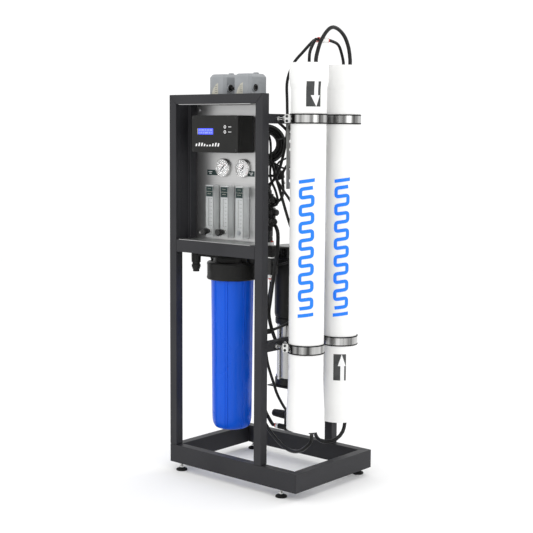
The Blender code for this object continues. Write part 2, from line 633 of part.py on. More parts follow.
# ---- Filter ----------------------------------------------------------------------------------------
def water_filter():
    """Head with a threaded collar, a sump that unscrews from it, and the cartridge inside."""
    centre = (FILTER_X, FILTER_Y, 0)
    neck_r = SUMP_R + SUMP_GAP
    profile = [(0, COLLAR_TOP + 0.030), (0.046, COLLAR_TOP + 0.030), (0.060, COLLAR_TOP + 0.024),
               (0.063, COLLAR_TOP), (COLLAR_R - 0.003, COLLAR_TOP), (COLLAR_R, COLLAR_TOP - 0.003),
               (COLLAR_R, COLLAR_BOTTOM + 0.004), (COLLAR_R - 0.003, COLLAR_BOTTOM), (neck_r, COLLAR_BOTTOM),
               (neck_r, SUMP_TOP + GAP), (0, SUMP_TOP + GAP)]
    head = turned("filter_head", profile, centre, "black_plastic")
    port_z = COLLAR_TOP + 0.012
    ports = rod("filter_ports", (FILTER_X - 0.082, FILTER_Y, port_z),
                (FILTER_X + 0.082, FILTER_Y, port_z), 0.021)
    arm_top = MID_RAIL_Z + MID_RAIL_HEIGHT - 0.006
    arm = block("filter_arm", (FILTER_X - 0.043, TUBE + GAP, MID_RAIL_Z - 0.012),
                (FILTER_X + 0.043, FILTER_Y, MID_RAIL_Z - 0.006))
    flange = block("filter_flange", (FILTER_X - 0.043, TUBE + GAP, MID_RAIL_Z - 0.012),
                   (FILTER_X + 0.043, TUBE + GAP + 0.004, arm_top))
    join(head, ports, arm, flange)

    low_r = SUMP_R - SUMP_TAPER
    bottom = SUMP_TOP - SUMP_LENGTH
    inner = [(low_r - SUMP_WALL, bottom + 0.020), (SUMP_R - SUMP_WALL, COLLAR_BOTTOM),
             (SUMP_R - SUMP_WALL, SUMP_TOP)]
    outer = [(SUMP_R, SUMP_TOP), (SUMP_R, COLLAR_BOTTOM - 0.003), (low_r, bottom + 0.018),
             (low_r - 0.006, bottom + 0.005), (low_r - 0.016, bottom), (0, bottom)]
    profile = [(0, bottom + SUMP_WALL), (low_r - 0.018, bottom + SUMP_WALL)] + inner + outer
    turned("filter_sump", profile, centre, "blue_plastic")

    low = SUMP_TOP - 0.006 - CARTRIDGE_LENGTH
    profile = [(CARTRIDGE_R, low + CARTRIDGE_LENGTH), (CARTRIDGE_R, low), (CARTRIDGE_CORE_R, low),
               (CARTRIDGE_CORE_R, low + CARTRIDGE_LENGTH)]
    turned("filter_cartridge", profile, centre, "filter_media", segments=FACETS_MEDIUM, closed=True)


def flush_valve():
    """Inlet solenoid valve, screwed onto the filter's outlet, with a stub above and below."""
    port_z = COLLAR_TOP + 0.012
    start_x = FILTER_X + 0.082 + GAP
    low = (start_x + 0.040, FILTER_Y - 0.018, port_z - 0.042)
    high = (start_x + 0.1015, FILTER_Y + 0.018, port_z + 0.052)
    valve = block("flush_valve", low, high, "black_plastic", round_axis=2, radius=0.004, steps=2)
    nipple = rod("valve_nipple", (start_x, FILTER_Y, port_z), (start_x + 0.045, FILTER_Y, port_z), 0.012,
                 segments=FACETS_SMALL)
    stub_x = high[0] - 0.016
    stub = rod("valve_stubs", (stub_x, FILTER_Y, low[2] - 0.024), (stub_x, FILTER_Y, high[2] + 0.014),
               0.0095, segments=FACETS_SMALL)
    join(valve, nipple, stub)


# ---- Pump and valves -------------------------------------------------------------------------------
def booster_pump():
    """Upright pump: a cast foot, a stainless sleeve with tie rods, and a motor on top."""
    foot_top = PUMP_FOOT_HEIGHT
    head = PUMP_BODY_HEIGHT - 0.020
    profile = [(0, PUMP_BODY_HEIGHT), (PUMP_FOOT_R - 0.002, PUMP_BODY_HEIGHT), (PUMP_FOOT_R - 0.002, head),
               (PUMP_SLEEVE_R - 0.004, head), (PUMP_SLEEVE_R - 0.004, foot_top), (PUMP_FOOT_R, foot_top),
               (PUMP_FOOT_R, 0), (0, 0)]
    body = turned("pump_body", profile, (PUMP_X, PUMP_Y, PUMP_BASE), "stainless")
    for index in range(6):
        angle = math.radians(15 + 60 * index)
        x = PUMP_X + (PUMP_SLEEVE_R - 0.003) * math.cos(angle)
        y = PUMP_Y + (PUMP_SLEEVE_R - 0.003) * math.sin(angle)
        join(body, rod("tie_rod_%d" % index, (x, y, PUMP_BASE + foot_top / 2),
                       (x, y, PUMP_BASE + head + 0.008), 0.003, segments=6))
    outlet = rod("pump_outlet", (PUMP_X, PUMP_Y + 0.030, PUMP_OUTLET_Z),
                 (PUMP_X, PUMP_Y + PUMP_FOOT_R + 0.004, PUMP_OUTLET_Z), 0.0095, segments=FACETS_SMALL)
    riser = rod("riser_port", (PUMP_X, PUMP_Y - 0.030, RISER_PORT_Z),
                (PUMP_X, PUMP_Y - PUMP_FOOT_R - 0.012, RISER_PORT_Z), 0.0095, segments=FACETS_SMALL)
    join(body, outlet, riser)

    profile = [(0, MOTOR_HEIGHT), (MOTOR_R - 0.006, MOTOR_HEIGHT), (MOTOR_R, MOTOR_HEIGHT - 0.006),
               (MOTOR_R, 0.012), (MOTOR_R - 0.006, 0.0), (0, 0)]
    turned("pump_motor", profile, (PUMP_X, PUMP_Y, PUMP_TOP + GAP), "black_plastic")


def concentrate_valve():
    """Needle valve that hangs from the pump shelf and sets the concentrate flow."""
    body = block("concentrate_valve", (VALVE_X, VALVE_Y - 0.015, VALVE_Z - 0.050),
                 (VALVE_X + 0.036, VALVE_Y + 0.015, VALVE_Z + 0.018), "black_plastic", round_axis=2,
                 radius=0.004, steps=2)
    hanger = block("valve_hanger", (VALVE_X + 0.004, VALVE_Y - 0.002, VALVE_Z),
                   (VALVE_X + 0.032, VALVE_Y + 0.002, SHELF_Z - GAP))
    inlet = rod("valve_inlet", (VALVE_X - 0.045, VALVE_Y, VALVE_Z - 0.043),
                (VALVE_X + 0.010, VALVE_Y, VALVE_Z - 0.043), 0.0095, segments=FACETS_SMALL)
    outlet = rod("valve_outlet", (VALVE_X + 0.020, VALVE_Y, VALVE_Z - 0.034),
                 (VALVE_X + 0.054, VALVE_Y, VALVE_Z - 0.034), 0.0085, segments=FACETS_SMALL)
    join(body, hanger, inlet, outlet)
    cut(body, rod("valve_seat", (VALVE_X - CUT, VALVE_Y, VALVE_Z), (VALVE_X + 0.020, VALVE_Y, VALVE_Z),
                  SPINDLE_R + SLIDE_GAP, segments=FACETS_SMALL))
    # Heights run towards -X from the valve's face.
    profile = [(0, 0.058), (0.010, 0.058), (0.0125, 0.054), (0.0145, 0.018), (0.0145, 0.003),
               (SPINDLE_R, 0.003), (SPINDLE_R, -0.018), (0, -0.018)]
    turned("concentrate_knob", profile, (VALVE_X, VALVE_Y, VALVE_Z), "black_plastic",
           segments=FACETS_MEDIUM, axis="-X")


# ---- Vessels ---------------------------------------------------------------------------------------
def vessel(side, y):
    """Plastic tube with flared ends, the membrane inside it, and an end plug in each end."""
    body_low = VESSEL_BOTTOM + BOTTOM_FLARE + BOTTOM_TAPER
    body_high = VESSEL_TOP - TOP_FLARE - TOP_TAPER
    profile = [(VESSEL_END_R - 0.0015, VESSEL_TOP), (VESSEL_END_R, VESSEL_TOP - 0.0015),
               (VESSEL_END_R, VESSEL_TOP - TOP_FLARE), (VESSEL_R, body_high), (VESSEL_R, body_low),
               (VESSEL_END_R, VESSEL_BOTTOM + BOTTOM_FLARE), (VESSEL_END_R, VESSEL_BOTTOM + 0.0015),
               (VESSEL_END_R - 0.0015, VESSEL_BOTTOM), (VESSEL_BORE_R, VESSEL_BOTTOM),
               (VESSEL_BORE_R, VESSEL_TOP)]
    turned("vessel_" + side, profile, (VESSEL_X, y, 0), "white_pvc", closed=True)
    plug_top = VESSEL_TOP - PLUG_RECESS
    plug_bottom = VESSEL_BOTTOM + PLUG_RECESS
    low, high = plug_bottom + PLUG_THICK + 0.008, plug_top - PLUG_THICK - 0.008
    rod("membrane_" + side, (VESSEL_X, y, low), (VESSEL_X, y, high), VESSEL_BORE_R - MEMBRANE_CLEAR,
        "filter_media", segments=FACETS_LARGE)
    end_plug("end_plug_top_" + side, y, plug_top, -1, 0.0, True)
    end_plug("end_plug_bottom_" + side, y, plug_bottom, 1, 0.022 if side == "front" else 0.0, False)


def end_plug(name, y, face, inward, skirt, permeate_port):
    """Disc with the feed port off its centre; skirt adds a wide nut that stands below the vessel."""
    disc = rod(name, (VESSEL_X, y, face), (VESSEL_X, y, face + inward * PLUG_THICK), PLUG_R, "black_plastic",
               segments=FACETS_LARGE)
    x = VESSEL_X + PORT_OFFSET
    reach = face - inward * PORT_REACH
    if skirt:
        reach = face - inward * (PLUG_RECESS + 0.016)
        join(disc, rod(name + "_nut", (VESSEL_X + 0.016, y, face + inward * 0.005),
                       (VESSEL_X + 0.016, y, reach + inward * 0.008), skirt, segments=FACETS_MEDIUM))
    join(disc, rod(name + "_feed", (x, y, face + inward * 0.006), (x, y, reach), PORT_R,
                   segments=FACETS_SMALL))
    if permeate_port:
        join(disc, rod(name + "_permeate", (VESSEL_X, y, face + inward * 0.006), (VESSEL_X, y, reach),
                       PORT_R - 0.001, segments=FACETS_SMALL))


def clamp(name, y, z):
    """Band round a vessel with a bolted lug and a stud that reaches the crossbar."""
    low, high = z - CLAMP_HEIGHT / 2, z + CLAMP_HEIGHT / 2
    profile = [(CLAMP_OUT_R, high), (CLAMP_OUT_R, low), (CLAMP_IN_R, low), (CLAMP_IN_R, high)]
    band = turned(name, profile, (VESSEL_X, y, 0), "stainless", closed=True)
    left = VESSEL_X - CLAMP_OUT_R
    # The lug stays outside the band's bore.
    lug = block(name + "_lug", (left - 0.014, y - 0.011, low + 0.002),
                (left + 0.0018, y + 0.011, high - 0.002))
    bar_face = (FRONT_WIDTH + GAP, y, z)
    stud = rod(name + "_stud", bar_face, (left + 0.001, y, z), CLAMP_STUD_R, segments=FACETS_SMALL)
    nut = rod(name + "_nut", bar_face, (FRONT_WIDTH + GAP + 0.006, y, z), 0.0072, segments=6)
    join(band, lug, stud, nut)


def vessels():
    for side, y in VESSEL_YS.items():
        vessel(side, y)
        lift = CLAMP_RISE_REAR if side == "rear" else 0.0
        clamp("clamp_upper_" + side, y, UPPER_BAR_Z + TUBE / 2)
        clamp("clamp_lower_" + side, y, LOWER_BAR_Z + TUBE / 2 + lift)


# ---- Hoses -----------------------------------------------------------------------------------------
def hoses():
    up, down = (0, 0, 1), (0, 0, -1)
    front_y, rear_y = VESSEL_YS["front"], VESSEL_YS["rear"]
    feed_x = VESSEL_X + PORT_OFFSET
    top = VESSEL_TOP - PLUG_RECESS + PORT_REACH
    hose("feed_loop_hose", (feed_x, front_y, top), up,
         [(feed_x, front_y + 0.006, top + 0.035), (feed_x, front_y + 0.018, top + 0.062),
          (feed_x, front_y + 0.035, top + 0.085), (feed_x, front_y + 0.058, top + 0.106),
          (feed_x, front_y + 0.083, top + 0.1155), (feed_x, rear_y - 0.056, top + 0.108),
          (feed_x, rear_y - 0.027, top + 0.087), (feed_x, rear_y - 0.008, top + 0.055),
          (feed_x, rear_y - 0.001, top + 0.025)],
         (feed_x, rear_y, top), up, HOSE_R)

    tee_x, tee_y, tee_z = VESSEL_X + 0.009, front_y + 0.055, top + 0.076
    half = TEE_RUN / 2
    tee = rod("permeate_tee", (tee_x, tee_y - half, tee_z), (tee_x, tee_y + half, tee_z), TEE_R,
              "white_plastic", segments=FACETS_SMALL)
    branch = rod("tee_branch", (tee_x, tee_y, tee_z), (tee_x - half, tee_y, tee_z), TEE_R,
                 segments=FACETS_SMALL)
    join(tee, branch)
    hose("permeate_hose_front", (VESSEL_X, front_y, top), up,
         [(VESSEL_X + 0.004, front_y - 0.001, top + 0.040)], (tee_x, tee_y - half, tee_z), (0, -1, 0), TUBE_R)
    hose("permeate_hose_rear", (VESSEL_X, rear_y, top), up,
         [(VESSEL_X - 0.001, rear_y - 0.006, top + 0.034), (VESSEL_X + 0.006, rear_y - 0.036, top + 0.066)],
         (tee_x, tee_y + half, tee_z), (0, 1, 0), TUBE_R)
    meter_port = (METER_XS[2], PANEL_BACK + METER_PORT_REACH, METER_PORTS[1])
    hose("permeate_hose_out", (tee_x - half, tee_y, tee_z), (-1, 0, 0),
         [(VESSEL_X - 0.060, tee_y - 0.008, VESSEL_TOP + 0.040),
          (VESSEL_X - 0.107, tee_y, VESSEL_TOP + 0.004),
          (VESSEL_X - 0.137, tee_y + 0.006, VESSEL_TOP - 0.050),
          (VESSEL_X - 0.138, tee_y + 0.008, VESSEL_TOP - 0.120),
          (VESSEL_X - 0.129, tee_y - 0.002, VESSEL_TOP - 0.210),
          (VESSEL_X - 0.135, tee_y - 0.016, VESSEL_TOP - 0.290),
          (VESSEL_X - 0.150, tee_y - 0.030, VESSEL_TOP - 0.350),
          (VESSEL_X - 0.195, tee_y - 0.036, VESSEL_TOP - 0.388)],
         meter_port, (0, 1, 0), TUBE_R)

    riser_top = (METER_XS[2], PANEL_BACK + METER_PORT_REACH, METER_PORTS[0])
    hose("riser_hose", (PUMP_X, PUMP_Y - PUMP_FOOT_R - 0.012, RISER_PORT_Z), (0, -1, 0),
         [(PUMP_X + 0.001, 0.158, RISER_PORT_Z + 0.045), (0.305, 0.148, 0.515), (0.317, 0.140, 0.558),
          (0.333, 0.135, 0.630), (0.346, 0.131, 0.685), (0.357, 0.128, 0.738), (0.352, 0.132, 0.790),
          (0.320, 0.142, 0.812), (0.280, 0.140, 0.795)],
         riser_top, (0, 1, 0), HOSE_R)

    low = VESSEL_BOTTOM - 0.016
    hose("concentrate_hose", (feed_x, front_y, low), down,
         [(feed_x - 0.014, front_y + 0.006, low - 0.034), (0.463, 0.130, 0.097), (0.419, 0.145, 0.081),
          (0.369, 0.160, 0.081), (0.317, 0.175, 0.098), (0.262, 0.192, 0.128), (0.214, 0.208, 0.172),
          (0.190, 0.228, 0.200), (0.190, 0.246, 0.188), (0.212, 0.250, 0.150)],
         (VALVE_X - 0.045, VALVE_Y, VALVE_Z - 0.043), (-1, 0, 0), HOSE_R)
    low = VESSEL_BOTTOM + PLUG_RECESS - PORT_REACH
    hose("feed_hose", (feed_x, rear_y, low), down,
         [(feed_x + 0.004, rear_y - 0.016, 0.140), (0.508, 0.248, 0.117), (0.478, 0.234, 0.106),
          (0.444, 0.238, 0.108), (0.405, 0.268, 0.122), (0.368, 0.310, 0.158), (0.338, 0.342, 0.205)],
         (PUMP_X, PUMP_Y + PUMP_FOOT_R + 0.004, PUMP_OUTLET_Z), (0, 1, 0), HOSE_R)


def power_lead():
    """Mains lead: out of the gland behind the panel, down and up into a tied coil, with its plug below."""
    across = Vector((math.cos(COIL_TURN), math.sin(COIL_TURN), 0))
    behind = Vector((-math.sin(COIL_TURN), math.cos(COIL_TURN), 0)) * COIL_BACK
    profile = [(COIL_R + BUNDLE_R * math.cos(math.radians(a)), BUNDLE_R * math.sin(math.radians(a)))
               for a in range(90, -270, -45)]
    coil = turned("power_coil", profile, COIL_CENTRE, "black_rubber", segments=FACETS_MEDIUM, closed=True)
    coil.rotation_euler = (math.pi / 2, 0, COIL_TURN)

    way_in = across * math.cos(LEAD_ANGLE) + Vector((0, 0, math.sin(LEAD_ANGLE)))
    meet = COIL_CENTRE + behind + way_in * (COIL_R + COIL_REACH)
    gland = Vector((POWER_GLAND_X, PANEL_BACK + POWER_GLAND_REACH, POWER_GLAND_Z))
    drop = gland + Vector((0, 0.040, -0.032))
    sag = Vector((0, 0, -0.067))
    middle = (drop + meet) / 2
    middle.z = drop.z
    low = middle + sag
    hose("power_lead", gland, (0, 1, 0),
         [gland + Vector((0, 0.0306, -0.0094)), drop, drop + sag / 2,
          drop + (low - drop) * 0.3 + sag * 0.56, low, meet + (low - meet) * 0.3 + sag * 0.34],
         meet, way_in, LEAD_R)

    way_out = across * math.cos(PLUG_ANGLE) + Vector((0, 0, math.sin(PLUG_ANGLE)))
    boot = COIL_CENTRE + behind + way_out * (COIL_R + COIL_REACH)
    body = rod("power_plug", boot, boot + way_out * 0.030, 0.0045, "black_rubber", end_radius=0.013,
               segments=FACETS_SMALL)
    grip = rod("plug_grip", boot + way_out * 0.028, boot + way_out * 0.058, 0.0175)
    join(body, grip)
    pin_row = way_out.cross(behind).normalized()
    for side in (-1, 1):
        pin = boot + pin_row * side * 0.0095
        join(body, rod("plug_pin_%d" % side, pin + way_out * 0.055, pin + way_out * 0.077, 0.0024,
                       segments=FACETS_SMALL))


# ---- The whole unit --------------------------------------------------------------------------------
def centre_on_floor():
    right = max(BASE_WIDTH, VESSEL_X + VESSEL_END_R)
    ROOT.location = (-right / 2, -BASE_DEPTH / 2, FOOT_HEIGHT)


def main():
    for build in (base_frame, levelling_feet, front_post_left, front_post_right, mid_rail, rear_post,
                  control_panel, control_box, gauges, flow_meters, pressure_switches, inlet_union,
                  water_filter, flush_valve, booster_pump, concentrate_valve, vessels, hoses, power_lead):
        build()
    centre_on_floor()


main()
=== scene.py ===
"""Reverse osmosis unit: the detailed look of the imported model.

Every operator builds one group of pieces in metres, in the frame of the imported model, and each piece
rides on a body of that model.  at() turns a place on the base frame into a place in that frame."""
import math

import bmesh
import bpy
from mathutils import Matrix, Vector


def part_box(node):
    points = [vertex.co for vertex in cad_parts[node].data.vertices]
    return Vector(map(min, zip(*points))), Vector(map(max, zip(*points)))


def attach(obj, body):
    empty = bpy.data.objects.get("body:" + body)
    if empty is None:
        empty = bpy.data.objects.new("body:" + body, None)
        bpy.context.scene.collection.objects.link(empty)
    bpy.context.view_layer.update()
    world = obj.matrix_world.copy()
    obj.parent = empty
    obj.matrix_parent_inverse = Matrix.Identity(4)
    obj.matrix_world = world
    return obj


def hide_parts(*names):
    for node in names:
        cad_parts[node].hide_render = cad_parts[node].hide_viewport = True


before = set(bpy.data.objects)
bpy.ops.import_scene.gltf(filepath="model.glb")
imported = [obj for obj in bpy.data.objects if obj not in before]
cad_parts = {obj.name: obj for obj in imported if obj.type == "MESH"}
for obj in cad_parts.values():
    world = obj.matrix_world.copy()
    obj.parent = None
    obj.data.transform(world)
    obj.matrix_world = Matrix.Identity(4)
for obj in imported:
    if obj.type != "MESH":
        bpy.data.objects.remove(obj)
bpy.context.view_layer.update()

bl_info = {"name": "Reverse Osmosis Unit", "version": (1, 0, 0), "blender": (4, 5, 0),
    "location": "View3D > Sidebar > RO Unit",
    "description": "Builds the detailed pieces of a reverse osmosis unit on its packed model",
    "category": "Add Mesh",}

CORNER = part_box("base_frame")[0]
UP, BACK, RIGHT = Vector((0, 0, 1)), Vector((0, 1, 0)), Vector((1, 0, 0))
TUBE = .03
SHEET = .0015
PANEL_Y = .0877       # front face of the panel
METER_Y = .0577       # front face of the flow meters
PORT_LEVELS = (.776, .913)
GAUGE_START = 225      # degrees at which a gauge's scale begins
BUTTON_DROPS = (.036, .0518)
VESSELS = {"front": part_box("vessel_front"), "rear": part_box("vessel_rear")}
VESSEL_R = .055
VIEW_YAW, VIEW_PITCH, VIEW_ROLL = (math.radians(turn) for turn in (40.749, 6.609, .394))
VIEW_SPOT = Vector((2.4669, -2.89, 1.13))
SENSOR_MM = 36.0
LENS_MM = 1169.27 / 533 * SENSOR_MM


def at(x, y, z):
    """A point measured from the lower left front corner of the base frame."""
    return CORNER + Vector((x, y, z))


def middle_of(low, high, z):
    """The middle of a box seen from above, at a height of its own."""
    return Vector(((low.x + high.x) / 2, (low.y + high.y) / 2, z))


def mm(*numbers):
    """Pairs of numbers in millimetres, such as radius and height, as points in metres."""
    return [(a / 1000, b / 1000) for a, b in zip(numbers[::2], numbers[1::2])]


def drum(radius, low, high):
    """The profile of a solid cylinder between two heights."""
    return [(0, high), (radius, high), (radius, low), (0, low)]


def hoop(inner, outer, low, high):
    """The profile of a ring between two radii and two heights."""
    return [(inner, high), (outer, high), (outer, low), (inner, low)]


def oblong(low, high):
    """The corners of an upright rectangle, as flat points."""
    return [(low[0], low[1], 0), (high[0], low[1], 0), (high[0], high[1], 0), (low[0], high[1], 0)]


def push(bm, faces, way):
    """Extrudes faces along a vector."""
    pushed = bmesh.ops.extrude_face_region(bm, geom=faces)
    moved = [item for item in pushed["geom"] if isinstance(item, bmesh.types.BMVert)]
    bmesh.ops.translate(bm, vec=way, verts=moved)


# ---- Finishes --------------------------------------------------------------------------------------
# Colour, second colour and its share; metal; roughness from and to; size of blotches and of grain
# (per metre); height of the grain (m); stretch of the pattern along X, Y and Z; coat.
FINISHES = {"powder_coat": ((.021, .021, .024), (.032, .032, .035), .7, 0.0, .42, .56, 9, 900, .00012),
    "brushed_steel": ((.5, .5, .5), (.6, .6, .59), .5, 1.0, .3, .36, 12, 60, .00001, (.4, 40, 60)),
    "strip_steel": ((.14, .14, .138), (.3, .3, .295), .9, 1.0, .28, .42, 18, 60, .00001, (1, 6, .4)),
    "band_steel": ((.07, .07, .068), (.66, .66, .65), 1.0, 1.0, .16, .34, 42, 500, .00001, (1, 1, .02)),
    "bright_steel": ((.66, .66, .65), (.78, .78, .77), .5, 1.0, .14, .28, 30, 500, .00001),
    "zinc_plate": ((.74, .74, .71), (.62, .63, .66), .6, 1.0, .22, .38, 120, 900, .00002),
    "black_abs": ((.01, .01, .0095), (.016, .016, .015), .6, 0.0, .38, .52, 40, 1500, .00006),
    "black_gloss": ((.008, .008, .008), (.014, .014, .014), .5, 0.0, .2, .34, 25, 400, .00002),
    "hose_black": ((.007, .007, .007), (.014, .014, .014), .5, 0.0, .28, .46, 30, 1200, .00003),
    "rubber": ((.008, .008, .008), (.016, .016, .016), .6, 0.0, .6, .8, 60, 1600, .00006),
    "vessel_white": ((.86, .86, .845), (.9, .9, .89), .6, 0.0, .3, .44, 7, 350, .00003, (1, 1, .3), .15),
    "white_plastic": ((.8, .8, .78), (.88, .88, .86), .5, 0.0, .34, .48, 50, 900, .00003),
    "print_white": ((.86, .86, .86), (.8, .8, .8), .4, 0.0, .4, .5, 80, 1500, .00001),
    "print_black": ((.02, .022, .022), (.04, .042, .042), .4, 0.0, .35, .45, 80, 1500, .00001),
    "print_green": ((.012, .028, .027), (.02, .04, .04), .4, 0.0, .3, .42, 80, 1500, .00001),
    # This grey serves as print, and also as painted shade for the edge lines of the clear flow meter blocks.
    "grey_print_and_edge_shade": ((.045, .047, .047), (.075, .077, .077), .6, 0.0, .4, .52, 60, 1500, .00001),
    "grey_paint": ((.27, .285, .3), (.33, .345, .36), .7, 0.0, .32, .48, 25, 700, .0001, (1, 1, 1), .1),
    "label_beige": ((.56, .54, .46), (.42, .41, .35), .8, 0.0, .42, .55, 90, 900, .00002),
    "red_plastic": ((.62, .035, .02), (.48, .025, .015), .6, 0.0, .3, .45, 60, 900, .00003),
    "media": ((.78, .76, .7), (.66, .64, .58), .8, 0.0, .8, .95, 60, 700, .0006, (1, 1, .25)),
    "motor_sleeve": ((.36, .36, .355), (.52, .52, .51), .7, 1.0, .2, .36, 14, 160, .00002, (10, 10, .5)),
    "floor_pale": ((.95, .95, .95), (.96, .96, .96), .5, 0.0, .75, .9, 2, 60, .00002),}


# How strongly the darker and the softer finishes mirror their surroundings; the others keep 0.5.
SHINE = {"powder_coat": .24, "black_abs": .2, "black_gloss": .42, "hose_black": .26, "rubber": .15,
    "vessel_white": .3, "sump_blue": .24, "motif_blue": .2, "grey_print_and_edge_shade": .25, "print_green": .25,
    "floor_pale": 0.0}


def surface_group():
    """The shared surface: two mottled colours, a varied roughness and a fine grain."""
    found = bpy.data.node_groups.get("mottled_surface")
    if found:
        return found
    group = bpy.data.node_groups.new("mottled_surface", "ShaderNodeTree")
    for name, kind in (("Colour", "NodeSocketColor"), ("Second Colour", "NodeSocketColor"),
            ("Share", "NodeSocketFloat"), ("Rough From", "NodeSocketFloat"), ("Rough To", "NodeSocketFloat"),
            ("Blotch Scale", "NodeSocketFloat"), ("Grain Scale", "NodeSocketFloat"), ("Grain Height",
            "NodeSocketFloat"), ("Stretch", "NodeSocketVector")):
        group.interface.new_socket(name, in_out="INPUT", socket_type=kind)
    for name, kind in (("Colour", "NodeSocketColor"), ("Roughness", "NodeSocketFloat"),
            ("Normal", "NodeSocketVector")):
        group.interface.new_socket(name, in_out="OUTPUT", socket_type=kind)
    nodes = group.nodes
    given, result = nodes.new("NodeGroupInput"), nodes.new("NodeGroupOutput")
    place, stretch = nodes.new("ShaderNodeTexCoord"), nodes.new("ShaderNodeMapping")
    blotch, grain = nodes.new("ShaderNodeTexNoise"), nodes.new("ShaderNodeTexNoise")
    blotch.inputs["Detail"].default_value = 5
    grain.inputs["Detail"].default_value = 2
    spread, share = nodes.new("ShaderNodeMapRange"), nodes.new("ShaderNodeMath")
    spread.inputs["From Min"].default_value, spread.inputs["From Max"].default_value = .35, .65
    share.operation = "MULTIPLY"
    mix, rough, bump = nodes.new("ShaderNodeMix"), nodes.new("ShaderNodeMapRange"), nodes.new(
        "ShaderNodeBump")
    mix.data_type = "RGBA"
    for source, giving, target, taking in ((place, "Object", stretch, "Vector"), (given, "Stretch", stretch,
            "Scale"), (stretch, "Vector", blotch, "Vector"), (given, "Blotch Scale", blotch, "Scale"),
            (stretch, "Vector", grain, "Vector"), (given, "Grain Scale", grain, "Scale"),
            (blotch, "Fac", spread, "Value"), (spread, "Result", share, 0), (given, "Share", share, 1),
            (share, "Value", mix, "Factor"), (given, "Colour", mix, "A"), (given, "Second Colour", mix, "B"),
            (spread, "Result", rough, "Value"), (given, "Rough From", rough, "To Min"), (given, "Rough To",
            rough, "To Max"), (grain, "Fac", bump, "Height"), (given, "Grain Height", bump, "Distance"),
            (mix, "Result", result, "Colour"), (rough, "Result", result, "Roughness"), (bump, "Normal",
            result, "Normal")):
        group.links.new(source.outputs[giving], target.inputs[taking])
    return group


def fill_surface(tree, colour, second, share, low, high, blotch, grain, height, stretch):
    surface = tree.nodes.new("ShaderNodeGroup")
    surface.node_tree = surface_group()
    for name, value in (("Colour", (*colour, 1)), ("Second Colour", (*second, 1)), ("Share", share),
            ("Rough From", low), ("Rough To", high), ("Blotch Scale", blotch), ("Grain Scale", grain),
            ("Grain Height", height), ("Stretch", stretch)):
        surface.inputs[name].default_value = value
    shader = tree.nodes["Principled BSDF"]
    tree.links.new(surface.outputs["Colour"], shader.inputs["Base Color"])
    tree.links.new(surface.outputs["Roughness"], shader.inputs["Roughness"])
    tree.links.new(surface.outputs["Normal"], shader.inputs["Normal"])
    return shader


def make_finish(name, colour, second, share, metal, low, high, blotch, grain, height, stretch=(1, 1, 1),
        coat=0.0):
    made = bpy.data.materials.new(name)
    made.use_nodes = True
    shader = fill_surface(made.node_tree, colour, second, share, low, high, blotch, grain, height, stretch)
    shader.inputs["Metallic"].default_value = metal
    shader.inputs["Specular IOR Level"].default_value = SHINE.get(name, .5)
    shader.inputs["Coat Weight"].default_value = coat
    return made


def lighter(colour, by):
    return tuple(min(1.0, value * by) for value in colour)


def paint(name):
    """A finish by name, made once; the ones that the user may colour read the settings."""
    found = bpy.data.materials.get(name)
    if found:
        return found
    settings = bpy.context.scene.ro_unit
    if name == "clear_acrylic":
        made = make_finish(name, (.98, .99, .99), (.95, .97, .97), .3, 0.0, .01, .04, 40, 300, .000004)
        shader = made.node_tree.nodes["Principled BSDF"]
        shader.inputs["Transmission Weight"].default_value = 1.0
        shader.inputs["IOR"].default_value = 1.49
        shader.inputs["Alpha"].default_value = .3
        return made
    if name == "gauge_glass":
        made = make_finish(name, (.97, .97, .97), (.95, .95, .95), .3, 0.0, .02, .05, 40, 300, .000002)
        shader = made.node_tree.nodes["Principled BSDF"]
        shader.inputs["Transmission Weight"].default_value = 1.0
        shader.inputs["Alpha"].default_value = .12
        return made
    if name in ("display_blue", "display_text"):
        colour = tuple(settings.display_colour) if name == "display_blue" else (.22, .27, 1.0)
        made = make_finish(name, colour, lighter(colour, .85), .6, 0.0, .2, .3, 90, 700, .000005, (1, 1, 1),
            .4)
        tree = made.node_tree
        shader = tree.nodes["Principled BSDF"]
        tree.links.new(shader.inputs["Base Color"].links[0].from_socket, shader.inputs["Emission Color"])
        shader.inputs["Emission Strength"].default_value = settings.display_glow
        return made
    if name == "sump_blue":
        colour = tuple(settings.sump_colour)
        return make_finish(name, colour, lighter(colour, 1.12), .6, 0.0, .24, .34, 8, 260, .00003, (1, 1, .4))
    if name == "motif_blue":
        colour = tuple(settings.motif_colour)
        return make_finish(name, colour, lighter(colour, .93), .5, 0.0, .3, .4, 20, 900, .00001, (1, 1, 1),
            .1)
    return make_finish(name, *FINISHES[name])


# ---- Shapes ----------------------------------------------------------------------------------------
def soften(points, radius, steps=3, closed=False):
    """The same line of points with its corners rounded."""
    points = [Vector(point) for point in points]
    out, last = [], len(points) - 1
    for index, corner in enumerate(points):
        before, after = points[index - 1], points[(index + 1) % len(points)]
        to_before, to_after = before - corner, after - corner
        reach = min(radius, .45 * to_before.length, .45 * to_after.length)
        if (not closed and index in (0, last)) or reach < 1e-6:
            out.append(corner)
            continue
        start, end = corner + to_before.normalized() * reach, corner + to_after.normalized() * reach
        for step in range(steps + 1):
            t = step / steps
            out.append(start * (1 - t) ** 2 + corner * 2 * t * (1 - t) + end * t * t)
    return out


def smooth_route(points, step):
    """Points about one step apart on a smooth curve; the first and the last stretch stay straight."""
    points = [Vector(point) for point in points]
    route = [points[0]]
    for before, start, end, after in zip(points, points[1:], points[2:], points[3:]):
        count = max(2, round((end - start).length / step))
        for index in range(count):
            t = index / count
            route.append(.5 * (2 * start + (end - before) * t + (2 * before - 5 * start + 4 * end - after)
                * t ** 2 + (3 * start - before - 3 * end + after) * t ** 3))
    return route + [points[-2], points[-1]]


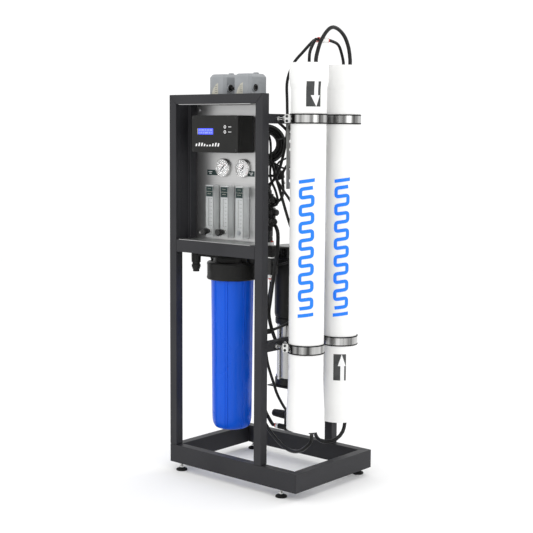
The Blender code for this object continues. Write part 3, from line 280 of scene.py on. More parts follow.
def strip_outline(path, half):
    """The outline of a band of even width along a flat path."""
    path, left, right = [point.xy for point in path], [], []
    for index, point in enumerate(path):
        before, after = path[max(index - 1, 0)], path[min(index + 1, len(path) - 1)]
        along_in = (point - before) if index else (after - point)
        along_out = (after - point) if index < len(path) - 1 else along_in
        side_in = Vector((-along_in.y, along_in.x)).normalized()
        side_out = Vector((-along_out.y, along_out.x)).normalized()
        side = (side_in + side_out).normalized()
        side *= half / max(.5, side.dot(side_in))
        left.append(point + side)
        right.append(point - side)
    return left + right[::-1]


class Shape:
    """Closed solids gathered in one mesh, each with its own finish."""

    def __init__(self):
        self.bm = bmesh.new()
        self.paints = []

    def take(self, bm, finish, recalc=True):
        if recalc:
            bmesh.ops.recalc_face_normals(bm, faces=bm.faces)
        if finish not in self.paints:
            self.paints.append(finish)
        for face in bm.faces:
            face.material_index = self.paints.index(finish)
            face.smooth = True
        mesh = bpy.data.meshes.new("part")
        bm.to_mesh(mesh)
        bm.free()
        self.bm.from_mesh(mesh)
        bpy.data.meshes.remove(mesh)
        return self

    def box(self, low, high, finish, edge=.0006, steps=2):
        low, high = Vector(low), Vector(high)
        bm = bmesh.new()
        bmesh.ops.create_cube(bm, size=1.0)
        bmesh.ops.scale(bm, vec=high - low, verts=bm.verts)
        bmesh.ops.translate(bm, vec=(low + high) / 2, verts=bm.verts)
        if edge:
            bmesh.ops.bevel(bm, geom=bm.edges[:], offset=edge, segments=steps, profile=.5, affect="EDGES")
        return self.take(bm, finish)

    def prism(self, outline, way, finish, edge=0.0, steps=2):
        """A flat outline of 3-D points pushed along a vector; edge rounds all its edges."""
        bm = bmesh.new()
        face = bm.faces.new([bm.verts.new(point) for point in outline])
        push(bm, [face], way)
        if edge:
            sharp = [e for e in bm.edges if len(e.link_faces) == 2 and e.calc_face_angle(0) > .5]
            bmesh.ops.bevel(bm, geom=sharp, offset=edge, segments=steps, profile=.5, affect="EDGES")
        return self.take(bm, finish)

    def lathe(self, profile, origin, finish, way=UP, segments=48, closed=False, wave=None, inward=False):
        """(radius, height) points turned about an axis; wave gives a radius factor for each angle."""
        turn = UP.rotation_difference(Vector(way)).to_matrix()
        origin = Vector(origin)
        bm = bmesh.new()
        rings = []
        for radius, height in profile:
            if radius < 1e-6:
                rings.append([bm.verts.new(origin + turn @ Vector((0, 0, height)))] * segments)
                continue
            ring = []
            for index in range(segments):
                angle = 2 * math.pi * index / segments
                reach = radius * (wave(angle) if wave else 1)
                spot = Vector((reach * math.cos(angle), reach * math.sin(angle), height))
                ring.append(bm.verts.new(origin + turn @ spot))
            rings.append(ring)
        pairs = list(zip(rings, rings[1:])) + ([(rings[-1], rings[0])] if closed else [])
        for upper, lower in pairs:
            for index in range(segments):
                after = (index + 1) % segments
                corners = [upper[index], upper[after], lower[after], lower[index]]
                kept = [v for i, v in enumerate(corners) if v is not corners[i - 1]]
                if len(kept) > 2:
                    bm.faces.new(kept)
        bmesh.ops.recalc_face_normals(bm, faces=bm.faces)
        if inward:
            bmesh.ops.reverse_faces(bm, faces=bm.faces)
        return self.take(bm, finish, recalc=False)

    def rod(self, start, end, radius, finish, edge=.0005, segments=32, end_radius=None):
        start, end = Vector(start), Vector(end)
        far = radius if end_radius is None else end_radius
        length = (end - start).length
        profile = soften([(0, length, 0), (far, length, 0), (radius, 0, 0), (0, 0, 0)], edge, 2)
        return self.lathe([(p.x, p.y) for p in profile], start, finish, (end - start).normalized(), segments)

    def turned(self, profile, origin, finish, way=UP, edge=.0006, segments=48, closed=False, wave=None,
            steps=2):
        rounded = soften([(r, h, 0) for r, h in profile], edge, steps, closed)
        return self.lathe([(p.x, p.y) for p in rounded], origin, finish, way, segments, closed, wave)

    def wrap(self, outline, centre, radius, facing, finish, lift=.0002, depth=.0008, columns=.003, rows=0.0):
        """A flat outline of (along, up) points laid round an upright cylinder as a thin print."""
        bm = bmesh.new()
        bm.faces.new([bm.verts.new((s, 0, z)) for s, z in outline])
        low, high = min(s for s, _ in outline), max(s for s, _ in outline)
        count = int((high - low) / columns)
        for index in range(1, count + 1):
            bmesh.ops.bisect_plane(bm, geom=bm.verts[:] + bm.edges[:] + bm.faces[:],
                plane_co=(low + index * (high - low) / (count + 1), 0, 0), plane_no=(1, 0, 0), dist=1e-7)
        base, top = min(z for _, z in outline), max(z for _, z in outline)
        for index in range(1, int((top - base) / rows) if rows else 0):
            bmesh.ops.bisect_plane(bm, geom=bm.verts[:] + bm.edges[:] + bm.faces[:],
                plane_co=(0, 0, base + index * rows), plane_no=(0, 0, 1), dist=1e-7)
        bmesh.ops.triangulate(bm, faces=bm.faces)
        push(bm, bm.faces[:], (0, depth, 0))
        for vertex in bm.verts:
            s, inner, z = vertex.co
            around = radius(centre.z + z) if callable(radius) else radius
            angle = facing + s / around
            reach = around + lift - inner
            vertex.co = (centre.x + reach * math.cos(angle), centre.y + reach * math.sin(angle), centre.z + z)
        return self.take(bm, finish)

    def add(self, name, body="unit", slot=None, replaces=(), sharp=38):
        mesh = bpy.data.meshes.new(name)
        self.bm.to_mesh(mesh)
        self.bm.free()
        for finish in self.paints:
            mesh.materials.append(paint(finish))
        mesh.set_sharp_from_angle(angle=math.radians(sharp))
        piece = bpy.data.objects.new(name, mesh)
        bpy.context.scene.collection.objects.link(piece)
        even = piece.modifiers.new("even_shading", "WEIGHTED_NORMAL")
        even.keep_sharp = True
        return settle(piece, body, replaces)


def settle(piece, body, replaces):
    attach(piece, body)
    if replaces:
        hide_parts(*replaces)
    return piece


def pipe(name, points, radius, finish, replaces=(), body="unit", step=2.2, ends=3):
    """A round hose or wire along a smooth route; the first and the last stretch of it stay straight."""
    route = smooth_route(points, step * radius)
    curve = bpy.data.curves.new(name, "CURVE")
    curve.dimensions = "3D"
    curve.bevel_depth = 1.0
    curve.bevel_resolution = ends
    curve.use_fill_caps = True
    spline = curve.splines.new("POLY")
    spline.points.add(len(route) - 1)
    for point, co in zip(spline.points, route):
        point.co, point.radius = (*co, 1.0), radius
    spline.use_smooth = True
    curve.materials.append(paint(finish))
    piece = bpy.data.objects.new(name, curve)
    bpy.context.scene.collection.objects.link(piece)
    return settle(piece, body, replaces)


def port_hose(name, start, start_way, bends, end, end_way, radius):
    """A hose from port to port that leaves each of them straight."""
    start, end = Vector(start), Vector(end)
    start_way, end_way = Vector(start_way).normalized(), Vector(end_way).normalized()
    points = [start, start + start_way * 2.5 * radius, *bends, end + end_way * 2.5 * radius, end]
    pipe(name, points, radius, "hose_black", (name.replace("_line", "_hose"),))


# ---- Frame -----------------------------------------------------------------------------------------
def build_base():
    low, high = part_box("base_frame")
    inner_low, inner_high = low + Vector((TUBE, TUBE, 0)), high - Vector((TUBE, TUBE, 0))
    outer = hoop(low.x, high.x, high.y, low.y)
    inner = hoop(inner_low.x, inner_high.x, inner_high.y, inner_low.y)
    shape = Shape()
    for index in range(4):
        after = (index + 1) % 4
        corners = [outer[index], outer[after], inner[after], inner[index]]
        shape.prism([(x, y, low.z) for x, y in corners], UP * (high.z - low.z), "powder_coat",
            bpy.context.scene.ro_unit.tube_edge, 3)
    shape.add("frame_base", slot="frame_paint", replaces=("base_frame",))


def build_posts():
    edge = bpy.context.scene.ro_unit.tube_edge
    foot, top = .0603, 1.218
    width, deep = .402, .393
    thick = BACK * TUBE

    left = Shape()
    left.prism([at(0, 0, foot), at(0, 0, top), at(TUBE, 0, top - TUBE), at(TUBE, 0, foot)], thick,
        "powder_coat", edge, 3)
    left.prism([at(0, 0, top), at(width, 0, top), at(width - TUBE, 0, top - TUBE), at(TUBE, 0, top - TUBE)],
        thick, "powder_coat", edge, 3)
    fold = mm(29.25, 29, 29.25, 57.25, 39.25, 57.25, 39.25, 89.5)
    path = soften([(x, y, 0) for x, y in fold], .0035, 4)
    sheet = strip_outline(path, SHEET / 2)
    left.prism([at(p.x, p.y, .7503) for p in sheet], UP * (1.1875 - .7503), "powder_coat")
    left.add("frame_left", slot="frame_paint", replaces=("front_post_left",), sharp=50)

    right = Shape()
    right.prism([at(width - TUBE, 0, foot), at(width - TUBE, 0, top - TUBE), at(width, 0, top),
        at(width, 0, foot)], thick, "powder_coat", edge, 3)
    right.box(at(width - TUBE, TUBE - .001, .418), at(width, .3627, .448), "powder_coat", edge, 3)
    right.box(at(.374, .21, .2615), at(.378, .33, .419), "powder_coat", .0008)
    right.box(at(.248, .21, .2615), at(.378, .33, .2655), "powder_coat", .0008)
    for x in (.374, .378):
        right.rod(at(x, .212, .4175), at(x, .328, .4175), .0022, "powder_coat")
    right.add("frame_right", slot="frame_paint", replaces=("front_post_right",))

    rail = Shape().box(at(TUBE + .0003, 0, .71), at(width - TUBE - .0003, TUBE, .75), "powder_coat", edge, 3)
    rail.add("frame_middle", slot="frame_paint", replaces=("mid_rail",))

    rear = Shape()
    rear.box(at(width - TUBE, deep - TUBE, foot), at(width, deep, 1.157), "powder_coat", edge, 3)
    rear.box(at(width - TUBE, TUBE + .0003, 1.127), at(width, deep - .001, 1.1565), "powder_coat", edge, 3)
    rear.rod(at(width - TUBE + .002, deep - TUBE, 1.128), at(width - .002, deep - TUBE, 1.128), .0022,
        "powder_coat")
    rear.add("frame_rear", slot="frame_paint", replaces=("rear_post",))


def build_feet():
    for side in ("front_left", "front_right", "rear_left", "rear_right"):
        low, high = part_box("levelling_foot_" + side)
        centre = middle_of(low, high, low.z)
        shape = Shape()
        shape.turned(mm(0, 10.5, 7.8, 10.5, 9, 9, 18, 5, 18.5, 3, 18.5, 0, 15, 0, 14, 1, 0, 1), centre,
            "rubber", edge=.0012)
        shape.turned(mm(0, 15, 7.5, 15, 8, 14, 8, 10.5, 0, 10.5), centre, "zinc_plate", segments=6,
            edge=.0004)
        thread = [(0, .054)]
        for turn in range(31):
            z = .0525 - turn * .00125
            thread += [(.0036, z), (.004, z - .0006)]
        shape.lathe(thread + [(0, .014)], centre, "zinc_plate", segments=24)
        shape.turned(mm(0, 25.5, 6.8, 25.5, 7, 22, 0, 22), centre, "zinc_plate", segments=6, edge=.0004)
        shape.add("foot_" + side, "levelling_foot_" + side, "foot_rubber", ("levelling_foot_" + side,),
            sharp=30)


# ---- Panel and control box -------------------------------------------------------------------------
def build_panel():
    low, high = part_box("control_panel")
    front, back = .002, .08875
    bottom, top = low.z - CORNER.z, high.z - CORNER.z
    half = SHEET / 2
    path = soften([(front, top - half, 0), (back, top - half, 0), (back, bottom + half, 0),
        (front, bottom + half, 0)], .0025, 4)
    outline = strip_outline(path, half)
    left = low.x - CORNER.x
    shape = Shape().prism([at(left, y, z) for y, z in outline], RIGHT * (high.x - low.x), "brushed_steel")
    for x, z in ((.052, .768), (.338, .768), (.052, 1.17), (.338, 1.17)):
        pan_head(shape, at(x, .088, z), .0042, "zinc_plate")
    shape.add("panel_sheet", slot="stainless", replaces=("control_panel",), sharp=50)

    tags = Shape()
    tag(tags, (.087, .96), (.132, .9775), (.0935, .1105))
    tag(tags, (.252, .96), (.293, .9775), (.272, .2885))
    tags.add("panel_tags", slot="black_plastic")


def tag(shape, low, high, marks):
    """A small engraved plate with two rows of plain marks."""
    shape.box(at(low[0], .0872, low[1]), at(high[0], .0882, high[1]), "print_green", .0003)
    middle = (low[1] + high[1]) / 2
    for row, share in ((.0025, 1.0), (-.003, .6)):
        width = (marks[1] - marks[0]) * share
        x = (marks[0] + marks[1]) / 2 - width / 2
        for part in range(4):
            start = x + width * part / 4
            shape.box(at(start, .087, middle + row - .0011), at(start + width / 6, .0873,
                middle + row + .0011), "print_white", 0)


def pan_head(shape, centre, radius, finish, way=-BACK):
    """A domed screw head with a cross recess, on a face that looks along way."""
    way = Vector(way)
    dome = [(0, radius * .62), (radius * .55, radius * .55), (radius * .88, radius * .32), (radius, 0.0),
        (0, -radius * .2)]
    shape.turned(dome, centre, finish, way, .0004, 24)
    across = way.orthogonal().normalized()
    for side in (across, way.cross(across)):
        reach, wide = side * radius * .55, way.cross(side) * radius * .1
        face = Vector(centre) + way * radius * .5
        shape.prism([face - reach - wide, face + reach - wide, face + reach + wide, face - reach + wide],
            way * radius * .16, "print_black")


def rounded_plate(shape, low, high, y_from, y_to, radius, finish, edge=.0008):
    outline = soften(oblong(low, high), radius * 1.3, 6, True)
    shape.prism([at(p.x, y_from, p.y) for p in outline], BACK * (y_to - y_from), finish, edge)


def build_control_box():
    low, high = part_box("control_cover")
    left, right = low.x - CORNER.x, high.x - CORNER.x
    bottom, top = low.z - CORNER.z, high.z - CORNER.z
    front, seam = low.y - CORNER.y, high.y - CORNER.y

    housing = Shape()
    rounded_plate(housing, (left, bottom), (right, top), seam + .0003, PANEL_Y, .005, "black_abs")
    rounded_plate(housing, (left + .002, bottom + .002), (right - .002, top - .002), seam - .003, seam + .001,
        .004, "rubber", 0.0)
    gland = at(.2, .0895, 1.052)
    housing.turned(mm(0, 18, 6.2, 18, 8.2, 15.5, 8.6, 7.5, 9, 7, 9, -2, 0, -2), gland, "black_abs", BACK,
        .0005, 32, wave=lambda angle: 1 - .03 * (math.cos(12 * angle) > .4))
    housing.turned(mm(0, 8.5, 13.5, 8.5, 14, 7.5, 14, 3.5, 13.5, .3, 0, .3), gland, "black_abs", BACK, .0004,
        6)
    housing.add("control_housing", slot="black_plastic", replaces=("control_box",))

    cover = Shape()
    rounded_plate(cover, (left, bottom), (right, top), front + .0012, seam, .005, "black_abs")
    window = (left + .028, right - .106, top - .06, top - .041)
    frame_plate(cover, (left, bottom), (right, top), window, front, front + .0014)
    for x in (left + .0075, right - .0075):
        for z in (bottom + .0075, top - .0075):
            cover.turned(mm(0, .2, 4.2, .4, 4.8, -1, 0, -1.2), at(x, front, z), "black_gloss", -BACK, .0003,
                24)
            pan_head(cover, at(x, front - .0001, z), .0028, "black_gloss")
    button_x = left + .1475
    for z in (top - drop for drop in BUTTON_DROPS):
        cover.turned(mm(7.4, .4, 7.4, -.4, 6.8, -.4, 6.8, .4), at(button_x, front, z), "black_gloss", -BACK,
            .0001, 48, True)
        for part, share in enumerate((.0034, .0022, .003)):
            start = button_x + .0125 + .0042 * part
            cover.box(at(start, front - .0002, z - .0012), at(start + share, front + .0002, z + .0012),
                "print_white", 0)
    wave_mark(cover, left + .017, bottom + .0195, .108, .0145, front)
    cover.add("control_face", slot="black_plastic", replaces=("control_cover",))
    build_display(window, front)

    for name, drop in zip(("start_button", "stop_button"), BUTTON_DROPS):
        z = top - drop
        cap = Shape().turned(mm(0, 2.4, 5.6, 2.6, 6.2, 2.3, 6.5, 1.8, 6.5, -6, 0, -6), at(button_x, front, z),
            "black_abs", -BACK, .0004, 40)
        cap.turned(hoop(.003, .005, .0021, .003), at(button_x, front, z), "print_white", -BACK, .0002, 40,
            True)
        cap.add(name + "_cap", name, "white_plastic", (name,))


def frame_plate(shape, low, high, window, front, back):
    """The cover's face: a rounded plate with a rectangular window, made as one outline with a slit."""
    outer = soften(oblong(low, high), .0065, 6, True)
    left, right, bottom, top = window
    hole = [(left, bottom), (left, top), (right, top), (right, bottom), (left, bottom)]
    outline = [at(p.x, front, p.y) for p in outer] + [at(outer[0].x, front, outer[0].y)]
    outline += [at(x, front, z) for x, z in hole]
    bm = bmesh.new()
    face = bm.faces.new([bm.verts.new(point) for point in outline])
    push(bm, [face], BACK * (back - front))
    bmesh.ops.triangulate(bm, faces=[f for f in bm.faces if len(f.verts) > 4])
    bmesh.ops.remove_doubles(bm, verts=bm.verts, dist=1e-6)
    shape.take(bm, "black_abs")


def wave_mark(shape, x, z, width, height, front):
    """A plain row of slanted bars under a long wave, printed on the cover."""
    for part in range(9):
        start = x + width * part / 9
        tall = height * (.55 + .25 * math.sin(part * 1.1))
        slant = .3 * tall
        bar = [(start, z), (start + .0058, z), (start + .0058 + slant, z + tall), (start + slant, z + tall)]
        shape.prism([at(px, front - .0002, pz) for px, pz in bar], BACK * .0004, "print_white")


def build_display(window, front):
    left, right, bottom, top = window
    panel = Shape().box(at(left, front + .0008, bottom), at(right, front + .0013, top), "display_blue", 0)
    rows = (("1101110110", .62), ("1011010111", .18))
    cell = (right - left - .008) / 16
    for pattern, lift in rows:
        for index in range(16):
            if pattern[index % len(pattern)] == "1":
                x, z = left + .004 + index * cell, bottom + (top - bottom) * lift
                panel.box(at(x, front + .0005, z), at(x + cell * .62, front + .0009,
                    z + (top - bottom) * .22), "display_text", 0)
    panel.add("display", slot="black_plastic")
    rim = Shape().box(at(left - .0022, front - .0003, bottom), at(left - .0004, front + .0006, top),
        "label_beige", .0002)
    rim.add("display_rim", slot="black_plastic")


# ---- Gauges ----------------------------------------------------------------------------------------
def build_gauges():
    for name, pointer in (("feed_gauge", "feed_gauge_pointer"), ("membrane_gauge", "membrane_gauge_pointer")):
        low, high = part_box(name)
        centre = Vector(((low.x + high.x) / 2, PANEL_Y + CORNER.y, (low.z + high.z) / 2))
        front = centre.y - low.y
        case = Shape()
        case.turned([(.0265, front - .0006), (.0275, front + .0002), (.0292, front - .0004),
            (.03, front - .002), (.03, .001), (.0285, 0.0), (.026, 0.0), (.026, .003), (.0265, .004)], centre,
            "bright_steel", -BACK, .0006, 72, True)
        case.turned(mm(0, 4.6, 25.8, 4.6, 25.8, -25.5, 24, -26.2, 7.5, -26.2, 7.5, -30, 6.8, -39.5, 0, -39.5),
            centre, "black_abs", -BACK, .001, 48)
        dial = centre - BACK * .0048
        case.turned(drum(.0264, -.0006, .0003), dial, "print_white", -BACK, .0001, 64)
        scale_marks(case, dial - BACK * .00035)
        case.add(name + "_case", slot="stainless", replaces=(name,))
        glass = Shape().lathe([(0, front - .0006), (.0262, front - .0009), (.0262, front - .0013),
            (0, front - .0011)], centre, "gauge_glass", -BACK, 64)
        glass.add(name + "_glass", slot="clear_acrylic")

        low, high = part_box(pointer)
        middle = Vector((centre.x, (low.y + high.y) / 2, centre.z))
        needle = Shape()
        aim = Vector((math.cos(math.radians(GAUGE_START)), 0, math.sin(math.radians(GAUGE_START))))
        side = Vector((-aim.z, 0, aim.x))
        blade = [aim * .0195, aim * .004 + side * .0012, -aim * .0105 + side * .0016,
            -aim * .0105 - side * .0016, aim * .004 - side * .0012]
        needle.prism([middle + p - BACK * .0003 for p in blade], BACK * .0005, "print_black")
        needle.turned(mm(0, .8, 2.4, .6, 2.6, -.8, 0, -1), middle, "black_gloss", -BACK, .0002, 24)
        needle.add(pointer + "_needle", pointer, "black_plastic", (pointer,))


def scale_marks(shape, face):
    """Ticks over three quarters of the dial, a red stretch at the high end and plain rings."""
    for index in range(31):
        angle = math.radians(GAUGE_START - 9 * index)
        long_tick = index % 5 == 0
        inner, outer = (.0185 if long_tick else .0205), .0225
        wide = .00045 if long_tick else .00025
        aim = Vector((math.cos(angle), 0, math.sin(angle)))
        side = Vector((-aim.z, 0, aim.x)) * wide
        tick = [aim * inner - side, aim * outer - side, aim * outer + side, aim * inner + side]
        shape.prism([face + p for p in tick], -BACK * .0001, "print_black")
    for start, end, near, far, finish in ((GAUGE_START, 25, .0228, .0232, "print_black"), (25, -45, .0226,
            .024, "red_plastic"), (200, 30, .0138, .0141, "red_plastic")):
        arc_band(shape, face, start, end, near, far, finish)
    for x, z, wide in ((-.004, -.01, .008), (-.0026, -.013, .0052), (-.003, .008, .006)):
        low = face + Vector((x, -.0001, z))
        shape.box(low, low + Vector((wide, .0001, .0012)), "grey_print_and_edge_shade", 0)


def arc_band(shape, face, start, end, near, far, finish):
    steps = 24
    angles = [math.radians(start + (end - start) * i / steps) for i in range(steps + 1)]
    ring = [Vector((math.cos(a) * far, 0, math.sin(a) * far)) for a in angles]
    ring += [Vector((math.cos(a) * near, 0, math.sin(a) * near)) for a in reversed(angles)]
    shape.prism([face + p for p in ring], -BACK * .0001, finish)


# ---- Flow meters -----------------------------------------------------------------------------------
def ribbed(count, depth):
    return lambda angle: 1 - depth * (.5 + .5 * math.cos(count * angle))


def build_flow_meters():
    for index in (1, 2, 3):
        name = "flow_meter_%d" % index
        low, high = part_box(name)
        x = (low.x + high.x) / 2 - CORNER.x
        bottom, top = .76, .929
        front, back = METER_Y, PANEL_Y
        middle = (front + back) / 2
        body = Shape()
        body.box(at(x - .017, front, bottom), at(x + .017, back, top), "clear_acrylic", .0009, 2)
        body.lathe([(0, top - .004 - bottom), (.0078, top - .004 - bottom), (.0062, .03), (.0045, .022),
            (0, .022)], at(x, middle, bottom), "clear_acrylic", segments=32, inward=True)
        for z in PORT_LEVELS:
            body.lathe(drum(.0042, -.004, .02), at(x, back - .004, z), "clear_acrylic", -BACK, 24,
                inward=True)
        body.add(name + "_block", slot="clear_acrylic", replaces=(name,))

        fittings = Shape()
        for z in PORT_LEVELS:
            fittings.turned(mm(0, 16, 6, 16, 7.5, 14, 7.5, -6, 0, -6), at(x, .0895, z), "black_abs", BACK,
                .0008, 32)
            fittings.turned(drum(.0125, .0005, .0065), at(x, .0895, z), "zinc_plate", BACK, .0005, 6)
            fittings.turned(mm(0, -.5, 8.5, -.5, 9.5, -4, 6.8, -14, 0, -14), at(x, PANEL_Y, z),
                "bright_steel", BACK, .0008, 32)
        fittings.rod(at(x, middle, bottom + .03), at(x, middle, top - .006), .00075, "bright_steel", .0002,
            12)
        fittings.turned(mm(0, 0, 7.8, 0, 7.8, -6.5, 5, -9.5, 0, -9.5), at(x, middle, top - .0042),
            "black_gloss", UP, .0006, 32)
        fittings.add(name + "_fittings", slot="stainless")

        print_scale_and_edge_shade(name, x, front, bottom, top)
        float_name = "float_%d" % index
        low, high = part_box(float_name)
        bob = Shape().turned(mm(0, 13, 1.2, 12.8, 5.5, 11.8, 5.5, 8, 4.4, 7, 2.2, .5, 0, 0),
            middle_of(low, high, low.z), "bright_steel", UP, .0005, 32)
        bob.add(float_name + "_bob", float_name, "stainless", (float_name,))

    for index in (1, 2):
        name = "flow_knob_%d" % index
        low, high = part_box(name)
        centre = Vector(((low.x + high.x) / 2, METER_Y + CORNER.y, (low.z + high.z) / 2))
        knob = Shape()
        knob.turned(mm(0, 33, 7.4, 33, 8.2, 33.8, 10, 33.2, 11, 31.6, 11, 15, 9.4, 13.6, 7.8, 5, 0, 4.6),
            centre, "black_gloss", -BACK, .0006, 72, wave=ribbed(18, .07))
        knob.turned(drum(.0035, -.0135, .0046), centre, "bright_steel", -BACK, .0004, 24)
        knob.add(name + "_grip", name, "black_plastic", (name,))
    for x in (.125, .19):
        nut = Shape().turned(mm(4.2, 4, 9.2, 4, 9.8, 3.2, 9.8, .3, 4.2, .3), at(x, METER_Y, .7805),
            "zinc_plate", -BACK, .0004, 6, True)
        nut.add("valve_nut_%d" % round(x * 1000), slot="stainless")
    plug = Shape().turned(mm(0, 3, 5, 3, 5.2, 1.8, 7.8, 2.2, 8, .3, 0, .3), at(.255, METER_Y, .7805),
        "grey_paint", -BACK, .0004, 32)
    plug.add("meter_blank", slot="grey_cast")


def print_scale_and_edge_shade(name, x, front, bottom, top):
    """The printed label and scale on the front of a meter, and painted shade: grey lines along the clear
    block's edges and its bore.
    """
    face = front - .0001
    marks = Shape()
    marks.box(at(x - .0145, face, top - .037), at(x + .0145, front + .0002, top - .0045), "print_green", 0)
    marks.box(at(x - .0145, face - .0001, top - .0212), at(x + .0145, front, top - .0206), "label_beige", 0)
    for row, wide in ((.0115, .014), (.028, .016)):
        for part in range(4):
            start = x - wide / 2 + wide * part / 4
            marks.box(at(start, face - .0001, top - row - .0006), at(start + wide / 7, front,
                top - row + .0006), "label_beige", 0)
    # Painted shade: thin grey rods along the clear block's corners and the sides of its bore stand in for the
    # dark edges that the acrylic shows.
    for side in (-1, 1):
        for away, deep in ((.0165, .0002), (.008, .014), (.0165, .0296)):
            marks.rod(at(x + side * away, front + deep, bottom + .004), at(x + side * away, front + deep,
                top - .004), .00055, "grey_print_and_edge_shade", 0.0, 8)
    for index in range(36):
        z = bottom + .038 + index * .0025
        wide = (.0074, .005)[bool(index % 5)]
        marks.box(at(x - .006, face, z - .0004), at(x - .006 + wide, front + .0001, z + .0004), "print_black",
            0)
        if index % 5 == 0:
            marks.box(at(x + .0062, face, z - .001), at(x + .0094, front + .0001, z + .001), "print_black", 0)
    marks.add(name + "_scale", slot="black_plastic")


# ---- Pressure switches and inlet -------------------------------------------------------------------
def build_switches():
    for name in ("low_pressure_switch", "high_pressure_switch"):
        low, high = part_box(name)
        left, right = low.x, high.x - .005
        y0, y1 = low.y, high.y
        base, top = low.z, high.z - .0055
        shape = Shape()
        chamfer = .009
        ring = [(left + chamfer, y0), (right - chamfer, y0), (right, y0 + chamfer), (right, y1 - chamfer),
            (right - chamfer, y1), (left + chamfer, y1), (left, y1 - chamfer), (left, y0 + chamfer)]
        levels = ((.024, 0.0), (top - base - .01, 0.0), (top - base - .002, .005), (top - base, .008))
        octagon_stack(shape, ring, base, levels, "grey_paint")
        shape.box((left + .004, y0 + .004, base), (right - .004, y1 - .004, base + .026), "grey_paint", .003,
            3)
        shape.box((left - .0004, y0 - .0002, base + .0235), (right + .0004, y1 + .0002, base + .0255),
            "black_abs", .0004)
        screw = Vector(((left + right) / 2, y1 - .016, top - .001))
        shape.turned(mm(0, 6.4, 7.8, 6.4, 9.2, 5, 9.2, 0, 0, 0), screw, "grey_paint", UP, .0006, 32)
        shape.box(screw + Vector((-.0045, -.0006, .006)), screw + Vector((.0045, .0006, .0067)),
            "print_black", 0)
        gland = Vector((right - .002, y0 + .024, top - .044))
        shape.turned(mm(11.2, 5, 12.8, 5.8, 13.6, 5, 13.6, 0, 11.2, 0), gland, "grey_paint", RIGHT, .0006, 48,
            True)
        shape.turned(mm(6, 6, 10, 6.2, 11.2, 5, 11.2, -1, 6, -1), gland, "black_gloss", RIGHT, .0006, 48,
            True)
        shape.turned(drum(.0062, -.001, .003), gland, "rubber", RIGHT, .0004, 32)
        middle = (left + right) / 2 - .006
        corner = [(middle - .015, base + .03), (middle + .013, base + .03), (middle + .013, base + .066),
            (middle + .004, base + .062), (middle - .008, base + .048)]
        shape.prism([Vector((x, y0 - .0003, z)) for x, z in corner], BACK * .0008, "label_beige")
        for row in range(4):
            z = base + .036 + .006 * row
            shape.box((middle + .0005, y0 - .0005, z), (middle + .0105 - .001 * row, y0, z + .0012),
                "grey_print_and_edge_shade", 0)
        shape.add(name + "_body", slot="grey_cast", replaces=(name,), sharp=20)


def octagon_stack(shape, ring, base, levels, finish):
    middle = Vector((sum(x for x, _ in ring) / 8, sum(y for _, y in ring) / 8, 0))
    bm = bmesh.new()
    loops = []
    for height, inset in levels:
        loop = []
        for x, y in ring:
            out = Vector((x, y, 0)) - middle
            shrunk = middle + Vector((out.x - math.copysign(min(inset, abs(out.x)), out.x),
                out.y - math.copysign(min(inset, abs(out.y)), out.y), 0))
            loop.append(bm.verts.new((shrunk.x, shrunk.y, base + height)))
        loops.append(loop)
    for lower, upper in zip(loops, loops[1:]):
        for index in range(8):
            after = (index + 1) % 8
            bm.faces.new((lower[index], lower[after], upper[after], upper[index]))
    bm.faces.new(loops[0])
    bm.faces.new(loops[-1])
    bmesh.ops.bevel(bm, geom=[e for e in bm.edges if e.calc_face_angle(0) > .2], offset=.0011, segments=2,
        profile=.5, affect="EDGES")
    shape.take(bm, finish)


def build_inlet():
    low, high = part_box("inlet_union")
    top = middle_of(low, high, high.z)
    shape = Shape()
    shape.turned(drum(.017, -.0135, 0), top, "black_abs", UP, .0008, 6)
    shape.turned(mm(0, -13, 12.5, -13, 12.5, -83, 14.8, -84, 14.8, -92, 12.8, -93, 12.8, -98, 10.5, -99, 10.5,
        -107, 8, -107, 8, -98, 0, -98), top, "black_abs", UP, .0007, 48)
    shape.turned(mm(12.5, -40, 15.2, -41, 15.8, -52, 15.2, -76, 12.5, -77), top, "black_abs", UP, .0008, 72,
        wave=ribbed(12, .05))
    shape.add("inlet_fitting", slot="black_plastic", replaces=("inlet_union",))


